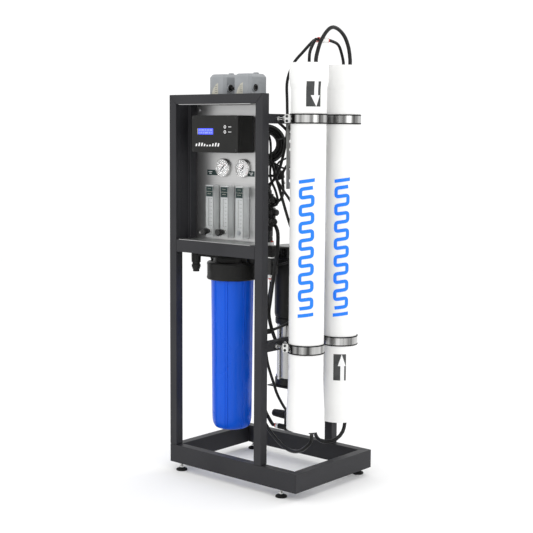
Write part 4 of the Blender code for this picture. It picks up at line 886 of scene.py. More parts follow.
# ---- Water filter ----------------------------------------------------------------------------------
def build_filter():
    centre = at(.143, .15, 0)
    top, bottom = .675, .617
    head = Shape()
    grip = lambda angle: 1 - .006 * (math.cos(16 * angle) > .86)
    head.turned([(0, top + .03), (.046, top + .03), (.058, top + .025), (.062, top + .014), (.0635, top),
        (.082, top), (.0835, top - .002), (.0835, top - .009), (0, top - .009)], centre, "black_abs", UP,
        .0025, 96, steps=3)
    head.turned([(.06, top - .001), (.082, top - .001), (.085, top - .005), (.0838, top - .012),
        (.0836, bottom + .012), (.085, bottom + .007), (.0848, bottom + .003), (.082, bottom),
        (.0738, bottom), (.0738, bottom + .004), (.06, bottom + .006)], centre, "black_abs", UP, .0014, 128,
        True, grip)
    port = at(.143, .15, top + .012)
    for way in (RIGHT, -RIGHT):
        head.turned(mm(0, 82, 15, 82, 15, 81.5, 21, 82, 22, 80, 22, 66, 20.5, 64, 20.5, 40, 0, 40), port,
            "black_abs", way, .0008, 48)
    head.box(at(.1, .0303, .698), at(.186, .15, .704), "black_abs", .0012)
    head.box(at(.1, .0303, .698), at(.186, .0343, .744), "black_abs", .001)
    for x in (.112, .174):
        head.box(at(x - .003, .034, .7), at(x + .003, .075, .716), "black_abs", .0012)
        for y in (.06, .105):
            head.turned(mm(0, 5.2, 6.2, 5.2, 6.6, 0, 0, 0), at(x, y, .704), "zinc_plate", UP, .0005, 6)
    head.turned(mm(0, 11, 8.5, 11, 9.5, 9, 9.5, 0, 0, 0), at(.143, .185, top + .024), "red_plastic", UP,
        .0008, 32)
    head.add("filter_cap", slot="black_plastic", replaces=("filter_head",), sharp=30)

    sump_top, base = .661, .116
    ribs = [math.radians(start + 3.5) for start in (-67, -17, 23, 73, 113, 163, 203, 253)]

    def rib_wave(angle):
        away = math.degrees(min(abs((angle - rib + math.pi) % (2 * math.pi) - math.pi) for rib in ribs))
        return 1.01 if away < 2.2 else .984 if away < 4.4 else 1.0

    profile = [(.0725, sump_top), (.0725, .64), (.0706, .608), (.069, .48), (.0676, .3), (.0664, base + .045),
        (.0655, base + .026), (.062, base + .012), (.056, base + .003), (.049, base), (.03, base + .0015),
        (0, base + .002)]
    rounded = soften([(r, h, 0) for r, h in profile], .008, 4)
    sump = Shape().lathe([(0, sump_top)] + [(p.x, p.y) for p in rounded], centre, "sump_blue", UP, 480,
        wave=rib_wave)
    sump.add("filter_bowl", "filter_sump", "blue_plastic", ("filter_sump",), sharp=50)
    low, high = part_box("filter_cartridge")
    cartridge = Shape().lathe([(.054, 0), (.054, low.z - high.z), (.014, low.z - high.z), (.014, 0)],
        Vector((centre.x, centre.y, high.z)), "media", UP, 48, True)
    cartridge.add("cartridge_media", slot="filter_media", replaces=("filter_cartridge",))


def collet(shape, centre, way, radius, finish="red_plastic"):
    """A push-fit collet: a ribbed sleeve with a coloured ring at its mouth."""
    shape.turned([(0, 0.0), (radius, 0.0), (radius * 1.04, .002), (radius * 1.04, .01), (radius * .92, .0125),
        (0, .0125)], centre, "white_plastic", way, .0006, 40)
    shape.turned(hoop(radius * .62, radius * .88, .0165, .013), centre, finish, way, .0004, 40, True)


def build_flush_valve():
    shape = Shape()
    port = at(.2253, .15, .687)
    shape.turned(drum(.0118, .042, 0.0), port, "black_abs", RIGHT, .0008, 40)
    shape.turned(mm(0, 6, 16, 6, 16.5, 8, 16.5, 22, 16, 24, 0, 24), port, "black_abs", RIGHT, .0006, 6)
    left, right = .2653, .3268
    shape.box(at(left, .132, .645), at(right, .168, .7), "black_gloss", .003, 3)
    shape.box(at(left + .003, .134, .701), at(right - .001, .166, .739), "black_abs", .005, 4)
    shape.box(at(left + .001, .1335, .6985), at(right - .0005, .1665, .703), "bright_steel", .0006)
    for z in (.708, .713, .718, .723, .728):
        shape.box(at(left + .0022, .1334, z), at(right - .0003, .1666, z + .0018), "black_abs", .0005)
    shape.box(at(right - .002, .14, .655), at(right + .0001, .16, .69), "grey_print_and_edge_shade", .0003)
    stub_x = right - .016
    collet(shape, at(stub_x, .15, .7375), UP, .0092)
    collet(shape, at(stub_x, .15, .646), -UP, .0098)
    shape.rod(at(stub_x, .15, .64), at(stub_x, .15, .6225), .006, "white_plastic")
    shape.add("flush_solenoid", slot="black_plastic", replaces=("flush_valve",))


# ---- Pump and needle valve -------------------------------------------------------------------------
def build_pump():
    base = .2658
    centre = at(.308, .27, base)
    body = Shape()
    body.turned(mm(0, 26, 56, 26, 60, 23, 60, 6, 57, 0, 0, 0), centre, "black_abs", UP, .0016, 72, steps=3)
    body.turned(mm(0, 206, 52, 206, 53, 204, 53, 26, 0, 26), centre, "motor_sleeve", UP, .0012, 96)
    body.turned(mm(0, 226, 59, 226, 60, 224, 60, 210, 58, 206, 0, 206), centre, "black_abs", UP, .0012, 72)
    for index in range(6):
        angle = math.radians(15 + 60 * index)
        spot = centre + Vector((math.cos(angle), math.sin(angle), 0)) * .0565
        body.rod(spot + UP * .02, spot + UP * .212, .003, "bright_steel", segments=20)
        body.turned(drum(.006, .0235, .029), spot, "zinc_plate", UP, .0004, 6)
    for start, height, length in ((BACK, .013, .064), (-BACK, .155, .072)):
        spot = centre + UP * height
        body.turned([(0, length), (.0068, length), (.0095, length - .003), (.0095, .04), (0, .04)], spot,
            "black_abs", start, .0008, 40)
        body.turned([(0, length - .003), (.0108, length - .003), (.0112, length - .005),
            (.0112, length - .016), (0, length - .017)], spot, "black_gloss", start, .0006, 6)
    body.add("pump_stage", slot="motor_metal", replaces=("pump_body",))

    motor = Shape()
    seat = Vector((centre.x, centre.y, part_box("pump_motor")[0].z))
    motor.turned(mm(0, 196.2, 62.2, 196.2, 63, 194.5, 63, 14, 60.5, 3, 57, 0, 0, 0), seat, "black_abs", UP,
        .0016, 96, steps=3)
    motor.turned(mm(0, 239, 56.5, 239, 61.5, 236.8, 63, 232, 63, 199, 62.2, 197.5, 0, 197.5), seat,
        "black_gloss", UP, .0014, 96, steps=4)
    for radius in (.012, .02, .028, .036, .044):
        motor.turned([(radius, .2388), (radius + .0022, .2396), (radius + .0044, .2388)], seat - UP * .0008,
            "black_abs", UP, .0004, 72)
    for low_z, half in ((.1735, .014), (.169, .008)):
        motor.wrap(hoop(-half, half, .0018, 0), seat + UP * low_z, .063, math.radians(-47), "zinc_plate",
            .0001)
    motor.add("pump_top", slot="black_plastic", replaces=("pump_motor",))


def build_needle_valve():
    x, y, z = .299, .25, .162
    shape = Shape()
    shape.box(at(x, y - .015, z - .05), at(x + .036, y + .015, z + .018), "black_gloss", .003, 3)
    shape.box(at(x + .004, y - .002, z), at(x + .032, y + .002, .2612), "powder_coat", .0006)
    shape.turned(mm(0, 0, 11.8, 0, 11.8, 3, 0, 3.5), at(x, y, z), "zinc_plate", -RIGHT, .0004, 6)
    collet(shape, at(x - .031, y, z - .043), -RIGHT, .0092)
    shape.rod(at(x - .033, y, z - .043), at(x + .004, y, z - .043), .0095, "black_abs")
    shape.rod(at(x + .03, y, z - .034), at(x + .04, y, z - .034), .0085, "black_abs")
    collet(shape, at(x + .0375, y, z - .034), RIGHT, .008)
    shape.add("needle_body", slot="black_plastic", replaces=("concentrate_valve",))
    knob = Shape()
    knob.turned(mm(0, 58, 8.5, 58, 11, 56.5, 12.2, 53, 14.2, 20, 14.2, 6, 12.5, 4, 0, 3.8), at(x, y, z),
        "black_abs", -RIGHT, .001, 96, wave=ribbed(16, .09))
    knob.turned(drum(.0035, -.017, .0042), at(x, y, z), "bright_steel", -RIGHT, .0003, 24)
    knob.add("needle_knob", "concentrate_knob", "black_plastic", ("concentrate_knob",))


# ---- Vessels ---------------------------------------------------------------------------------------
FLARE_LOW = ((0.0, .06), (.059, .06), (.084, .0584), (.14, .0556), (.164, .055))
FLARE_HIGH = ((.09, .055), (.078, .0556), (.062, .0588), (.046, .06), (0.0, .06))


def vessel_outside(low, high):
    """Heights and outer radii of a vessel that stands from low to high."""
    return [(low.z + z, r) for z, r in FLARE_LOW] + [(high.z - z, r) for z, r in FLARE_HIGH]


def radius_at(levels, height):
    for (z0, r0), (z1, r1) in zip(levels, levels[1:]):
        if z0 <= height <= z1:
            return r0 + (r1 - r0) * (height - z0) / (z1 - z0)
    return levels[-1][1]


def build_vessels():
    for side, (low, high) in VESSELS.items():
        centre = middle_of(low, high, low.z)
        tall = high.z - low.z
        outside = [(r, z - low.z) for z, r in reversed(vessel_outside(low, high))]
        profile = [(.0505, tall), *outside, (.0505, 0.0)]
        tube = Shape().turned(profile, centre, "vessel_white", UP, .0011, 128, True, steps=4)
        for height in (tall - .012, .012):
            tube.turned([(.0512, height + .003), (.0512, height - .003), (.049, height - .003),
                (.049, height + .003)], centre, "bright_steel", UP, .0006, 96, True)
        tube.add("vessel_tube_" + side, slot="white_pvc", replaces=("vessel_" + side,))
        bottom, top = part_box("membrane_" + side)
        core = Shape().turned(drum(.0493, bottom.z - top.z, 0), Vector((centre.x, centre.y, top.z)), "media",
            UP, .002, 64)
        core.add("membrane_roll_" + side, slot="membrane_wrap", replaces=("membrane_" + side,))
        end_plug("end_plug_top_" + side, centre, tall - .022, 1, .018, True, 0.0)
        end_plug("end_plug_bottom_" + side, centre, .022, -1, .038 if side == "front" else .018, False,
            .022 if side == "front" else 0.0)
        build_prints(side, centre)


def end_plug(name, centre, face, out, reach, permeate, skirt):
    shape = Shape()
    way = UP * out
    spot = centre + UP * face
    shape.turned(mm(0, 0, 20, 0, 22, 1.2, 44, 1.2, 46.5, 0, 50, -.6, 50, -27.5, 0, -27.5), spot, "black_abs",
        way, .0008, 96)
    for index in range(8):
        angle = math.radians(45 * index + 22.5)
        aim = Vector((math.cos(angle), math.sin(angle), 0))
        side = Vector((-aim.y, aim.x, 0)) * .0011
        bar = [aim * .03 - side, aim * .046 - side, aim * .046 + side, aim * .03 + side]
        shape.prism([spot + p for p in bar], way * .0028, "black_abs", .0004)
    ports = [(.026, .011)] + ([(0.0, .01)] if permeate else [])
    for x, radius in ports:
        port = spot + RIGHT * x
        if skirt and x:
            shape.turned([(0, reach - .01), (.0195, reach - .01), (.0212, reach - .013), (.0218, .006),
                (.02, 0.0), (0, 0.0)], port - RIGHT * .01, "black_abs", way, .001, 72, wave=ribbed(10, .05))
        shape.turned([(0, reach - .002), (radius * .62, reach - .002), (radius * .9, reach - .004),
            (radius, reach - .012), (radius, 0.0), (0, 0.0)], port, "black_gloss", way, .0006, 40)
        shape.turned([(0, .0085), (radius * 1.18, .0085), (radius * 1.2, .0075), (radius * 1.2, .0015),
            (0, .0015)], port, "black_abs", way, .0004, 6)
    shape.add(name + "_cap", slot="black_plastic", replaces=(name,))


def build_prints(side, centre):
    """A dark plate with a flow arrow and a long wave motif, printed round each vessel."""
    shape = Shape()
    facing = math.radians(-51.3)
    ground = CORNER.z
    if side == "front":
        width, tall, low, turn = .046, .075, 1.178, math.radians(15.5)
        head, shaft, tip, points_up = (.3, .93), (.53, .8), .68, False
    else:
        width, tall, low, turn = .041, .085, .3135, 0.0
        head, shaft, tip, points_up = (.35, .97), (.555, .861), .653, True
    left = -width / 2
    plate = hoop(left, left + width, tall, 0)
    spot = Vector((centre.x, centre.y, ground + low))
    levels = vessel_outside(*VESSELS[side])

    def outside(height):
        return radius_at(levels, height)

    shape.wrap(plate, spot, outside, facing + turn, "grey_print_and_edge_shade", .0002, rows=.004)
    base, point = (.55 * tall, tall) if points_up else (.45 * tall, 0.0)
    far = 0.0 if points_up else tall
    s = [left + width * share for share in (head[0], shaft[0], tip, shaft[1], head[1])]
    arrow = [(s[0], base), (s[1], base), (s[1], far), (s[3], far), (s[3], base), (s[4], base), (s[2], point)]
    shape.wrap(arrow, spot, outside, facing + turn, "print_white", .0005, rows=.004)

    low, high = (.536, .962) if side == "front" else (.52, .96)
    turn = math.radians(-3.5) if side == "front" else 0.0
    spot = Vector((centre.x, centre.y, ground + low))
    for outline in wave_band(high - low):
        shape.wrap(outline, spot, VESSEL_R, facing + turn, "motif_blue", .0003)
    shape.add("vessel_print_" + side, slot="blue_plastic")


def wave_band(tall):
    """A rounded square wave that runs up the vessel, between two slanted bars."""
    half, reach, slant = .0056, .0192, .006
    levels = 14
    pitch = (tall - .06) / levels
    path = []
    for index in range(levels + 1):
        z = .03 + index * pitch
        ends = (-reach, reach) if index % 2 == 0 else (reach, -reach)
        path += [(s, z + slant * s / reach * .5, 0) for s in ends]
    outlines = [[tuple(p) for p in strip_outline(soften(path, .0085, 5), half)]]
    for z in (.0075, tall - .0075):
        outlines.append([(-reach - half, z - .0055 - slant * .6), (reach + half, z - .0055 + slant * .6),
            (reach + half, z + .0055 + slant * .6), (-reach - half, z + .0055 - slant * .6)])
    return outlines


def build_clamps():
    for level in ("upper", "lower"):
        for side, (vessel_low, vessel_high) in VESSELS.items():
            name = "clamp_%s_%s" % (level, side)
            low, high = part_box(name)
            middle = (low.z + high.z) / 2
            centre = middle_of(vessel_low, vessel_high, middle)
            shape = Shape()
            shape.turned(hoop(.0566, .0574, -.0125, .0125), centre, "band_steel", UP, .0002, 128, True)
            shape.turned(hoop(.0553, .0566, -.013, .013), centre, "rubber", UP, .0002, 128, True)
            for edge in (.0132, -.0132):
                shape.turned(hoop(.0553, .0583, edge - .002, edge + .002), centre, "rubber", UP, .0012, 128,
                    True, steps=3)
            x = centre.x - .0574
            for way in (-1, 1):
                shape.box((x - .0145, centre.y + way * .0022 - .0011, middle - .0115),
                    (x + .002, centre.y + way * .0022 + .0011, middle + .0115), "zinc_plate", .0006)
                shape.turned(mm(0, 6.4, 6.2, 6.4, 6.6, 5.8, 6.6, .8, 0, 0),
                    (x - .0085, centre.y + way * .0033, middle), "zinc_plate", BACK * way, .0004, 6)
            shape.rod((x - .0085, centre.y - .011, middle), (x - .0085, centre.y + .011, middle), .003,
                "zinc_plate", segments=24)
            bar = CORNER.x + .4023
            shape.rod((bar, centre.y, middle), (x + .001, centre.y, middle), .004, "zinc_plate", segments=32)
            shape.turned(mm(0, 6, 7, 6, 7.2, 5.2, 7.2, 0, 0, 0), (bar, centre.y, middle), "zinc_plate", RIGHT,
                .0004, 6)
            shape.turned(drum(.0095, 0.0, .0012), (bar, centre.y, middle), "zinc_plate", RIGHT, .0003, 40)
            clamp_lug(shape, centre, bar)
            shape.add(name + "_band", slot="stainless", replaces=(name,))


def clamp_lug(shape, centre, bar):
    """The band's folded ends at its front left, and the stud that ties them to the crossbar."""
    turn = math.radians(221)
    out = Vector((math.cos(turn), math.sin(turn), 0))
    along = Vector((-out.y, out.x, 0))
    for way in (-1, 1):
        near, far = centre + out * .056, centre + out * .0735
        wall = [near + along * (way * .0065 - .0012), far + along * (way * .0065 - .0012),
            far + along * (way * .0065 + .0012), near + along * (way * .0065 + .0012)]
        shape.prism([p - UP * .013 for p in wall], UP * .026, "zinc_plate", .0006)
        for lift in (-.007, .007):
            shape.turned(mm(0, 3, 3.6, 3, 4.2, 2.2, 4.2, 0, 0, 0), centre + out * .0665 + along * way * .0074
                + UP * lift, "black_gloss", along * way, .0004, 24)
    block = centre + out * .059
    wall = [block + along * .005, block + out * .013 + along * .005, block + out * .013 - along * .005,
        block - along * .005]
    shape.prism([p - UP * .0095 for p in wall], UP * .019, "bright_steel", .0008)
    tie = centre + out * .066
    shape.rod((bar, tie.y, centre.z), (tie.x, tie.y, centre.z), .004, "bright_steel", segments=32)
    shape.turned(mm(0, 6.4, 7.4, 6.4, 7.8, 5.6, 7.8, 0, 0, 0), (bar, tie.y, centre.z), "zinc_plate", RIGHT,
        .0004, 6)
    shape.turned(mm(0, 6.4, 7.4, 6.4, 7.8, 5.6, 7.8, 0, 0, 0), (tie.x - .0125, tie.y, centre.z), "zinc_plate",
        RIGHT, .0004, 6)


# ---- Hoses -----------------------------------------------------------------------------------------
HOSE_R = .006
TUBE_R = .00475
VESSEL_X, FRONT_Y, REAR_Y = .49, .112, .284
FEED_X = VESSEL_X + .026
PORT_TOP = 1.306
TEE = (VESSEL_X + .009, FRONT_Y + .055, PORT_TOP + .076)


def build_hoses():
    top = PORT_TOP
    port_hose("feed_loop_line", at(FEED_X, FRONT_Y, top), UP, [at(FEED_X, y, top + rise) for y,
        rise in ((FRONT_Y + .006, .035), (FRONT_Y + .018, .062), (FRONT_Y + .035, .085), (FRONT_Y + .058,
        .106), (FRONT_Y + .083, .1155), (REAR_Y - .056, .108), (REAR_Y - .027, .087), (REAR_Y - .008, .055),
        (REAR_Y - .001, .025))], at(FEED_X, REAR_Y, top), UP, HOSE_R)
    tee_x, tee_y, tee_z = TEE
    half = .024
    tee = Shape()
    for way in (-BACK, BACK, -RIGHT):
        spot = at(*TEE)
        tee.turned([(0, half - .0125), (.0086, half - .0125), (.0092, .006), (.0092, 0), (0, 0)], spot,
            "white_plastic", way, .0006, 32)
        collet(tee, spot + way * (half - .0165), way, .0082)
    tee.add("tee_body", slot="white_plastic", replaces=("permeate_tee",))
    hose_from = at(VESSEL_X, FRONT_Y, top)
    port_hose("permeate_line_front", hose_from, UP, [at(VESSEL_X + .004, FRONT_Y - .001, top + .04)],
        at(tee_x, tee_y - half, tee_z), -BACK, TUBE_R)
    port_hose("permeate_line_rear", at(VESSEL_X, REAR_Y, top), UP, [at(VESSEL_X - .001, REAR_Y - .006,
        top + .034), at(VESSEL_X + .006, REAR_Y - .036, top + .066)], at(tee_x, tee_y + half, tee_z), BACK,
        TUBE_R)
    crown = 1.31
    port_hose("permeate_line_out", at(tee_x - half, tee_y, tee_z), -RIGHT, [at(VESSEL_X - .06, tee_y - .008,
        crown + .04), at(VESSEL_X - .107, tee_y, crown + .004), at(VESSEL_X - .137, tee_y + .006,
        crown - .05), at(VESSEL_X - .138, tee_y + .008, crown - .12), at(VESSEL_X - .129, tee_y - .002,
        crown - .21), at(VESSEL_X - .135, tee_y - .016, crown - .29), at(VESSEL_X - .15, tee_y - .03,
        crown - .35), at(VESSEL_X - .195, tee_y - .036, crown - .388)], at(.255, .1055, .913), BACK, TUBE_R)
    riser = .4208
    port_hose("riser_line", at(.308, .198, riser), -BACK, [at(.309, .158, riser + .045), at(.305, .148, .515),
        at(.317, .14, .558), at(.333, .135, .63), at(.346, .131, .685), at(.357, .128, .738),
        at(.352, .132, .79), at(.32, .142, .812), at(.28, .14, .795)], at(.255, .1055, .776), BACK, HOSE_R)
    low = .16
    port_hose("concentrate_line", at(FEED_X, FRONT_Y, low), -UP, [at(FEED_X - .014, FRONT_Y + .006,
        low - .034), at(.463, .13, .097), at(.419, .145, .081), at(.369, .16, .081), at(.317, .175, .098),
        at(.262, .192, .128), at(.214, .208, .172), at(.19, .228, .2), at(.19, .246, .188),
        at(.212, .25, .15)], at(.254, .25, .119), -RIGHT, HOSE_R)
    port_hose("feed_line", at(FEED_X, REAR_Y, .18), -UP, [at(FEED_X + .004, REAR_Y - .016, .14),
        at(.508, .248, .117), at(.478, .234, .106), at(.444, .238, .108), at(.405, .268, .122),
        at(.368, .31, .158), at(.338, .342, .205)], at(.308, .334, .2788), BACK, HOSE_R)


# ---- Mains lead ------------------------------------------------------------------------------------
LEAD_D = .008
COIL_R = .0475
ACROSS = Vector((math.cos(math.radians(41)), math.sin(math.radians(41)), 0))
BEHIND = Vector((-math.sin(math.radians(41)), math.cos(math.radians(41)), 0))


def coil_point(angle, reach, back):
    """A point of the tied coil: its angle, its distance from the middle and how far behind it lies."""
    turn = math.radians(angle)
    return at(.282, .156, 1.0625) + (ACROSS * math.cos(turn) + UP * math.sin(turn)) * reach + BEHIND * back


# The lead's stretch from its gland to the coil, and the one from the coil to the plug: the angle, the
# reach and the depth behind the coil of each point.
LEAD_IN = ((263.2, .0612, .015), (249.5, .0504, .0152), (229.4, .0515, .0152), (211.3, .0584, .015),
    (195.5, .0626, .0145), (180, .064, .0125), (160, .0642, .0085), (140, .064, .0045), (120, .063, .0016),
    (100, .0612, .0003))
LEAD_OUT = ((40, .0395, .0082), (20, .0395, .0108), (0, .0394, .0134), (-20, .0391, .0148),
    (-42, .0389, .0151), (-57.5, .0434, .0152), (-65.8, .053, .0143))
# Where each turn lies in the bundle: outwards and backwards from its middle, in millimetres.
SLOTS = ((12, 0), (8, -6.93), (0, -6.93), (-8, -6.93), (-12, 0), (-4, 0), (4, 0), (8, 6.93), (0, 6.93),
    (-8, 6.93))


def lead_route():
    gland = at(.2, .1075, 1.052)
    points = [gland, gland + BACK * .01, gland + Vector((0, .0265, -.0044)),
        gland + Vector((0, .0386, -.0165)), gland + Vector((0, .043, -.033))]
    down = gland + Vector((0, .043, -.067))
    rise = coil_point(267.4, .0776, .015)
    half = math.hypot(rise.x - down.x, rise.y - down.y) / 2
    for turn in (0, 45, 90, 135, 180):
        swing = math.radians(turn)
        spot = down.lerp(rise, (1 - math.cos(swing)) / 2)
        points.append(spot - UP * half * math.sin(swing))
    points += [coil_point(*spot) for spot in LEAD_IN]
    for turn, (out, back) in enumerate(SLOTS):
        after = SLOTS[min(turn + 1, len(SLOTS) - 1)]
        steps = range(5 if turn == 0 else 0, 18 if turn < len(SLOTS) - 1 else 7)
        for step in steps:
            angle = 180 - 20 * step
            share = max(0.0, (step - 15) / 3)
            wobble = .15 * math.sin(math.radians(2 * angle + 70 * turn))
            points.append(coil_point(angle, COIL_R + (out + (after[0] - out) * share + wobble) / 1000,
                (back + (after[1] - back) * share) / 1000))
    points += [coil_point(*spot) for spot in LEAD_OUT]
    boot = coil_point(292, COIL_R + .017, .012)
    way_out = (coil_point(292, 1, 0) - coil_point(292, 0, 0)).normalized()
    return points + [boot - way_out * .001, boot + way_out * .007]


def build_lead():
    lead = pipe("mains_lead", lead_route(), LEAD_D / 2, "hose_black",
        ("power_lead", "power_coil"), step=1.9, ends=3)
    gland = at(.2, .1075, 1.052)
    relief = Shape()
    profile = [(.0062, 0.0)]
    for rib in range(6):
        near = .0062 - .0003 * rib
        profile += [(near, .0008 + .0033 * rib), (near, .0022 + .0033 * rib),
            (near - .0008, .0024 + .0033 * rib), (near - .0008, .0038 + .0033 * rib)]
    profile += mm(4.2, 21.5, 3.6, 21.5, 3.6, 0)
    relief.lathe(profile, gland - BACK * .0015, "rubber", BACK, 32, True)
    relief.add("lead_relief", slot="black_rubber")

    boot = coil_point(292, COIL_R + .017, .012)
    way = (coil_point(292, 1, 0) - coil_point(292, 0, 0)).normalized()
    row = way.cross(BEHIND).normalized()
    plug = Shape()
    plug.turned(mm(0, 30, 13, 30, 10.5, 20, 7.5, 10, 5.8, 0, 0, 0), boot, "rubber", way, .002, 40, steps=3)
    for rib in range(4):
        plug.turned([(.006 + .0011 * rib, .002 + .004 * rib), (.0078 + .0011 * rib, .0028 + .004 * rib),
            (.0064 + .0011 * rib, .0044 + .004 * rib)], boot, "rubber", way, .0005, 40)
    plug.turned(mm(0, 58, 15, 58, 17.2, 55.5, 17.5, 50, 16.8, 36, 13.5, 28.5, 0, 28), boot, "black_abs", way,
        .0018, 64, steps=3, wave=lambda angle: 1 - .018 * (math.cos(12 * angle) > .5))
    for side in (-1, 1):
        pin = boot + row * side * .0095
        plug.rod(pin + way * .055, pin + way * .077, .0024, "bright_steel", .001, 24)
    plug.add("mains_plug", slot="black_rubber", replaces=("power_plug",))

    ties = Shape()
    for angle in (100, 20):
        tie_band(ties, angle)
    ties.add("coil_ties", slot="black_plastic")


def tie_band(shape, angle):
    """A cable tie round the bundle: a thin strap that follows the outline of the turns, and its head."""
    outline = [(-16.6, 0), (-12.4, 10.8), (12.4, 10.8), (16.6, 0), (12.4, -10.8), (-12.4, -10.8)]
    rounded = soften([(u, v, 0) for u, v in outline], 5, 4, True)
    rounded.append(rounded[0])
    path = strip_outline(rounded, .55)
    tangent = coil_point(angle + 90, 1, 0) - coil_point(angle + 90, 0, 0)
    corners = [coil_point(angle, COIL_R + p.x / 1000, p.y / 1000) - tangent * .0024 for p in path]
    half = len(corners) // 2
    bm = bmesh.new()
    near = [bm.verts.new(p) for p in corners]
    far = [bm.verts.new(p + tangent * .0048) for p in corners]
    for index in range(half - 1):
        other = len(corners) - 1 - index
        for a, b in ((index, index + 1), (other - 1, other)):
            bm.faces.new((near[a], near[b], far[b], far[a]))
        for ring in (near, far):
            bm.faces.new((ring[index], ring[index + 1], ring[other - 1], ring[other]))
    shape.take(bm, "black_gloss")
    centre = coil_point(angle, COIL_R + .0175, 0.0)
    out = coil_point(angle, 1, 0) - coil_point(angle, 0, 0)
    corners = [centre + BEHIND * a * .0036 + tangent * b * .0036 for a, b in ((-1, -1), (1, -1), (1, 1),
        (-1, 1))]
    shape.prism(corners, out * .0045, "black_gloss", .0006)


# ---- Small parts behind the panel ------------------------------------------------------------------
def build_loose():
    strip = Shape()
    x, y0, y1, low, high = .4025, .112, .146, .9245, 1.127
    outline = soften(oblong((y0, low), (y1, high)), .004, 4, True)
    plate_with_holes(strip, outline, x, .0024, [(.129, 1.098, .0052), (.129, 1.073, .0052),
        (.129, 1.047, .0052), (.129, .99, .0052), (.129, .95, .0052)])
    strip.turned(mm(0, 6.2, 7.8, 6.2, 8, 3, 0, 2.4), at(x + .0022, .129, 1.115), "zinc_plate", RIGHT, .0004,
        6)
    strip.add("slotted_strip", slot="stainless")

    clumps = Shape()
    aim = Vector((.8, -.35, .1)).normalized()
    for spot, way, size in ((at(.318, .137, .884), aim, .017), (at(.318, .142, .846), RIGHT, .015),
            (at(.322, .137, .815), aim, .016), (at(.31, .134, .776), -UP, .0155), (at(.3, .145, .905), UP,
            .013)):
        clumps.turned([(0, .026), (size * .55, .026), (size * .7, .023), (size * .78, .012), (size, .01),
            (size, -.01), (size * .8, -.012), (0, -.014)], spot, "black_gloss", way, .001, 72,
            wave=ribbed(12, .07))
    clumps.rod(at(.312, .14, .905), at(.31, .14, .77), .0125, "black_abs")
    clumps.box(at(.296, .128, .822), at(.326, .156, .862), "black_abs", .004, 3)
    for z in PORT_LEVELS:
        clumps.rod(at(.262, .118, z), at(.312, .14, z), .0065, "black_abs")
    clumps.turned(mm(0, 16, 10, 16, 12, 13, 12, -13, 10, -16, 0, -16), at(.314, .11, .462), "black_abs", UP,
        .001, 40)
    clumps.rod(at(.314, .11, .462), at(.336, .121, .4665), .0085, "black_abs")
    clumps.add("panel_manifold", slot="black_plastic")

    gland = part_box("low_pressure_switch")
    start = Vector((gland[1].x - .004, gland[0].y + .024, gland[1].z - .0495))
    pipe("switch_wire", [start, start + RIGHT * .012, start + Vector((.022, .016, -.01)),
        start + Vector((.025, .042, -.035)), start + Vector((.034, .07, -.08)), at(.296, .152, 1.09),
        at(.31, .146, 1.02), at(.316, .138, .959), at(.34, .136, .915), at(.35, .136, .88),
        at(.334, .137, .868), at(.318, .139, .868)], .004, "hose_black", step=3)
    for index, (radius, points) in enumerate(LOOSE_LINES):
        pipe("loose_line_%d" % (index + 1), [at(*p) for p in points], radius, "hose_black",
            step=3)


LOOSE_LINES = ((.0046, ((.3108, .15, .64), (.3108, .15, .61), (.308, .14, .56), (.31, .12, .505),
    (.314, .11, .47), (.318, .104, .435), (.333, .101, .405), (.337, .108, .36), (.343, .128, .3),
    (.345, .15, .251), (.362, .178, .196), (.386, .214, .152), (.388, .243, .133), (.372, .25, .128),
    (.345, .25, .128))), (.0046, ((.246, .1275, .985), (.246, .14, .984), (.27, .154, 1.0), (.3, .147, 1.012),
    (.321, .14, 1.0), (.338, .137, .963), (.354, .136, .927), (.37, .135, .888), (.384, .135, .852),
    (.4, .135, .814), (.42, .142, .762), (.432, .156, .69), (.432, .157, .6), (.424, .15, .54),
    (.405, .141, .506), (.38, .136, .489), (.352, .132, .476), (.332, .119, .467), (.316, .111, .463))),
    (.0042, ((.161, .1275, .985), (.161, .138, .984), (.18, .134, .968), (.215, .13, .958),
    (.255, .134, .955), (.292, .143, .96), (.325, .142, .962), (.35, .138, .941), (.377, .135, .914),
    (.4, .135, .889), (.419, .138, .86), (.43, .148, .815), (.425, .156, .745), (.402, .158, .704),
    (.365, .156, .684), (.327, .15, .674))), (.003, ((.125, .1055, .913), (.125, .118, .913), (.16, .14, .93),
    (.24, .156, .97), (.308, .148, 1.0), (.337, .136, 1.001), (.356, .135, .994), (.374, .136, .988),
    (.396, .148, .994), (.404, .158, 1.015), (.396, .15, 1.026), (.378, .138, 1.018), (.36, .138, 1.011),
    (.342, .142, 1.0), (.322, .152, .96), (.302, .148, .92))),
    (.0046, ((.262, .0885, 1.14), (.262, .106, 1.141), (.285, .132, 1.156), (.328, .14, 1.146),
    (.35, .136, 1.131), (.378, .137, 1.111), (.395, .148, 1.08), (.397, .155, 1.04), (.379, .152, 1.004),
    (.358, .15, .975), (.357, .15, .945), (.362, .148, .915), (.354, .144, .888), (.334, .138, .878),
    (.32, .138, .88))), (.0034, ((.19, .1055, .913), (.19, .118, .913), (.22, .134, .905), (.27, .14, .88),
    (.305, .142, .862))), (.0034, ((.125, .1055, .776), (.125, .118, .776), (.16, .136, .786),
    (.24, .144, .812), (.302, .142, .832))), (.0034, ((.19, .1055, .776), (.19, .118, .776),
    (.215, .134, .784), (.26, .142, .815), (.302, .146, .845))),
    (.0052, ((.3108, .15, .752), (.3108, .15, .764), (.311, .142, .775))),)


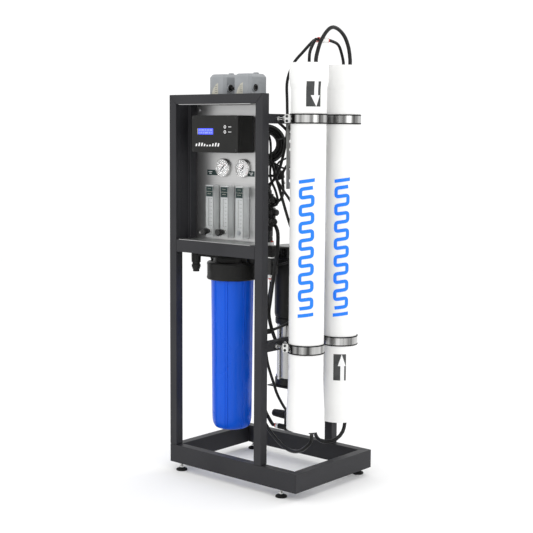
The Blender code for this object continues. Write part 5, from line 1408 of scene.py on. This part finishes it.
def plate_with_holes(shape, outline, x, thick, holes):
    """A flat bar with round holes: its face is filled between the outline and the holes."""
    bm = bmesh.new()
    edges = []
    loops = [[(p.x, p.y) for p in outline]]
    for y, z, radius in holes:
        loops.append([(y + radius * math.cos(a * math.pi / 12), z + radius * math.sin(a * math.pi / 12))
            for a in range(24)])
    for loop in loops:
        verts = [bm.verts.new(at(x, y, z)) for y, z in loop]
        edges += [bm.edges.new((verts[i - 1], verts[i])) for i in range(len(verts))]
    bmesh.ops.triangle_fill(bm, use_beauty=True, edges=edges)
    push(bm, bm.faces[:], RIGHT * thick)
    shape.take(bm, "strip_steel")


# ---- Stage -----------------------------------------------------------------------------------------
def build_stage():
    scene = bpy.context.scene
    floor = Shape().box((-6, -6, -.02), (6, 6, -.0002), "floor_pale", .002)
    mesh = bpy.data.meshes.new("floor")
    floor.bm.to_mesh(mesh)
    floor.bm.free()
    mesh.materials.append(paint("floor_pale"))
    ground = bpy.data.objects.new("floor", mesh)
    scene.collection.objects.link(ground)

    world = bpy.data.worlds.new("studio")
    scene.world = world
    world.use_nodes = True
    sky = world.node_tree.nodes["Background"]
    sky.inputs["Color"].default_value = (1.0, 1.0, 1.0, 1.0)
    sky.inputs["Strength"].default_value = 1.07
    for name, spot, size, power, aim in (("key", (-1.6, -3.0, 2.6), 1.8, 20, (0, 0, .7)),
            ("side", (3.2, -.6, 1.6), 1.4, 14, (.1, 0, .8)), ("rim", (.6, 2.6, 2.4), 1.6, 14, (0, 0, .9))):
        light = bpy.data.lights.new(name, "AREA")
        light.size, light.energy = size, power
        lamp = bpy.data.objects.new(name, light)
        lamp.location = spot
        lamp.rotation_euler = (Vector(spot) - Vector(aim)).to_track_quat("Z", "Y").to_euler()
        scene.collection.objects.link(lamp)
    scene.view_settings.view_transform = "Standard"


def build_camera():
    scene = bpy.context.scene
    camera = bpy.data.cameras.new("camera")
    camera.sensor_width, camera.lens = SENSOR_MM, LENS_MM
    holder = bpy.data.objects.new("camera", camera)
    pitch, roll = VIEW_PITCH, VIEW_ROLL
    ahead = Vector((-math.sin(VIEW_YAW) * math.cos(pitch), math.cos(VIEW_YAW) * math.cos(pitch),
        -math.sin(pitch)))
    level = Vector((math.cos(VIEW_YAW), math.sin(VIEW_YAW), 0))
    lift = level.cross(ahead)
    right = level * math.cos(roll) + lift * math.sin(roll)
    up = lift * math.cos(roll) - level * math.sin(roll)
    turn = holder.matrix_world.copy()
    for column, axis in enumerate((right, up, -ahead)):
        for row in range(3):
            turn[row][column] = axis[row]
    turn.translation = VIEW_SPOT
    holder.matrix_world = turn
    scene.collection.objects.link(holder)
    scene.camera = holder


# ---- Settings, operators and panel -----------------------------------------------------------------
class RoUnitSettings(bpy.types.PropertyGroup):
    """Colours and sizes that a user may change."""
    sump_colour: bpy.props.FloatVectorProperty(name="Filter bowl",
        description="Colour of the large filter's bowl", subtype="COLOR", size=3, min=0, max=1,
        default=(.002, .092, .66))
    motif_colour: bpy.props.FloatVectorProperty(name="Vessel print",
        description="Colour of the wave printed on the vessels", subtype="COLOR", size=3, min=0, max=1,
        default=(.018, .22, 1.0))
    display_colour: bpy.props.FloatVectorProperty(name="Display", description="Colour of the lit display",
        subtype="COLOR", size=3, min=0, max=1, default=(.06, .09, 1.0))
    display_glow: bpy.props.FloatProperty(name="Display glow",
        description="Strength of the display's own light", min=0, max=5, default=.7)
    tube_edge: bpy.props.FloatProperty(name="Tube corner", description="Radius of the frame tube's corners",
        unit="LENGTH", min=.0005, max=.004, default=.0016)


class ROUNIT_OT_camera(bpy.types.Operator):
    """Places the camera at the front right of the unit"""
    bl_idname = "rounit.camera"
    bl_label = "Camera"

    def execute(self, context):
        build_camera()
        return {"FINISHED"}


class ROUNIT_OT_lead(bpy.types.Operator):
    """Builds the coiled mains lead and its plug"""
    bl_idname = "rounit.lead"
    bl_label = "Mains Lead"

    def execute(self, context):
        build_lead()
        return {"FINISHED"}


class ROUNIT_OT_frame(bpy.types.Operator):
    """Builds the welded frame and its feet"""
    bl_idname = "rounit.frame"
    bl_label = "Frame"

    def execute(self, context):
        build_base()
        build_posts()
        build_feet()
        return {"FINISHED"}


class ROUNIT_OT_panel(bpy.types.Operator):
    """Builds the panel, the control box and the gauges"""
    bl_idname = "rounit.panel"
    bl_label = "Control Panel"

    def execute(self, context):
        build_panel()
        build_control_box()
        build_gauges()
        return {"FINISHED"}


class ROUNIT_OT_meters(bpy.types.Operator):
    """Builds the flow meters, the switches and the inlet"""
    bl_idname = "rounit.meters"
    bl_label = "Flow Meters"

    def execute(self, context):
        build_flow_meters()
        build_switches()
        build_inlet()
        return {"FINISHED"}


class ROUNIT_OT_filter(bpy.types.Operator):
    """Builds the filter and the valve on its outlet"""
    bl_idname = "rounit.filter"
    bl_label = "Water Filter"

    def execute(self, context):
        build_filter()
        build_flush_valve()
        return {"FINISHED"}


class ROUNIT_OT_pump(bpy.types.Operator):
    """Builds the booster pump and the needle valve"""
    bl_idname = "rounit.pump"
    bl_label = "Pump"

    def execute(self, context):
        build_pump()
        build_needle_valve()
        return {"FINISHED"}


class ROUNIT_OT_vessels(bpy.types.Operator):
    """Builds the membrane vessels with their prints and clamps"""
    bl_idname = "rounit.vessels"
    bl_label = "Vessels"

    def execute(self, context):
        build_vessels()
        build_clamps()
        return {"FINISHED"}


class ROUNIT_OT_hoses(bpy.types.Operator):
    """Builds the hoses and the small lines behind the panel"""
    bl_idname = "rounit.hoses"
    bl_label = "Hoses"

    def execute(self, context):
        build_hoses()
        build_loose()
        return {"FINISHED"}


class ROUNIT_OT_stage(bpy.types.Operator):
    """Builds the floor, the world and the lights"""
    bl_idname = "rounit.stage"
    bl_label = "Stage"

    def execute(self, context):
        build_stage()
        return {"FINISHED"}


OPERATORS = (ROUNIT_OT_camera, ROUNIT_OT_lead, ROUNIT_OT_frame, ROUNIT_OT_panel, ROUNIT_OT_meters,
    ROUNIT_OT_filter, ROUNIT_OT_pump, ROUNIT_OT_vessels, ROUNIT_OT_hoses, ROUNIT_OT_stage)


class ROUNIT_PT_panel(bpy.types.Panel):
    """Lists the unit's settings and groups in the sidebar."""
    bl_idname = "ROUNIT_PT_panel"
    bl_label = "Reverse Osmosis Unit"
    bl_space_type = "VIEW_3D"
    bl_region_type = "UI"
    bl_category = "RO Unit"

    def draw(self, context):
        for name in RoUnitSettings.__annotations__:
            self.layout.prop(context.scene.ro_unit, name)
        for operator in OPERATORS:
            self.layout.operator(operator.bl_idname)


def register():
    for cls in (RoUnitSettings, *OPERATORS, ROUNIT_PT_panel):
        bpy.utils.register_class(cls)
    bpy.types.Scene.ro_unit = bpy.props.PointerProperty(type=RoUnitSettings)


def unregister():
    del bpy.types.Scene.ro_unit
    for cls in (ROUNIT_PT_panel, *reversed(OPERATORS), RoUnitSettings):
        bpy.utils.unregister_class(cls)


def main():
    register()
    bpy.ops.rounit.camera()
    bpy.ops.rounit.lead()
    bpy.ops.rounit.frame()
    bpy.ops.rounit.panel()
    bpy.ops.rounit.meters()
    bpy.ops.rounit.filter()
    bpy.ops.rounit.pump()
    bpy.ops.rounit.vessels()
    bpy.ops.rounit.hoses()
    bpy.ops.rounit.stage()


if __name__ == "__main__":
    main()
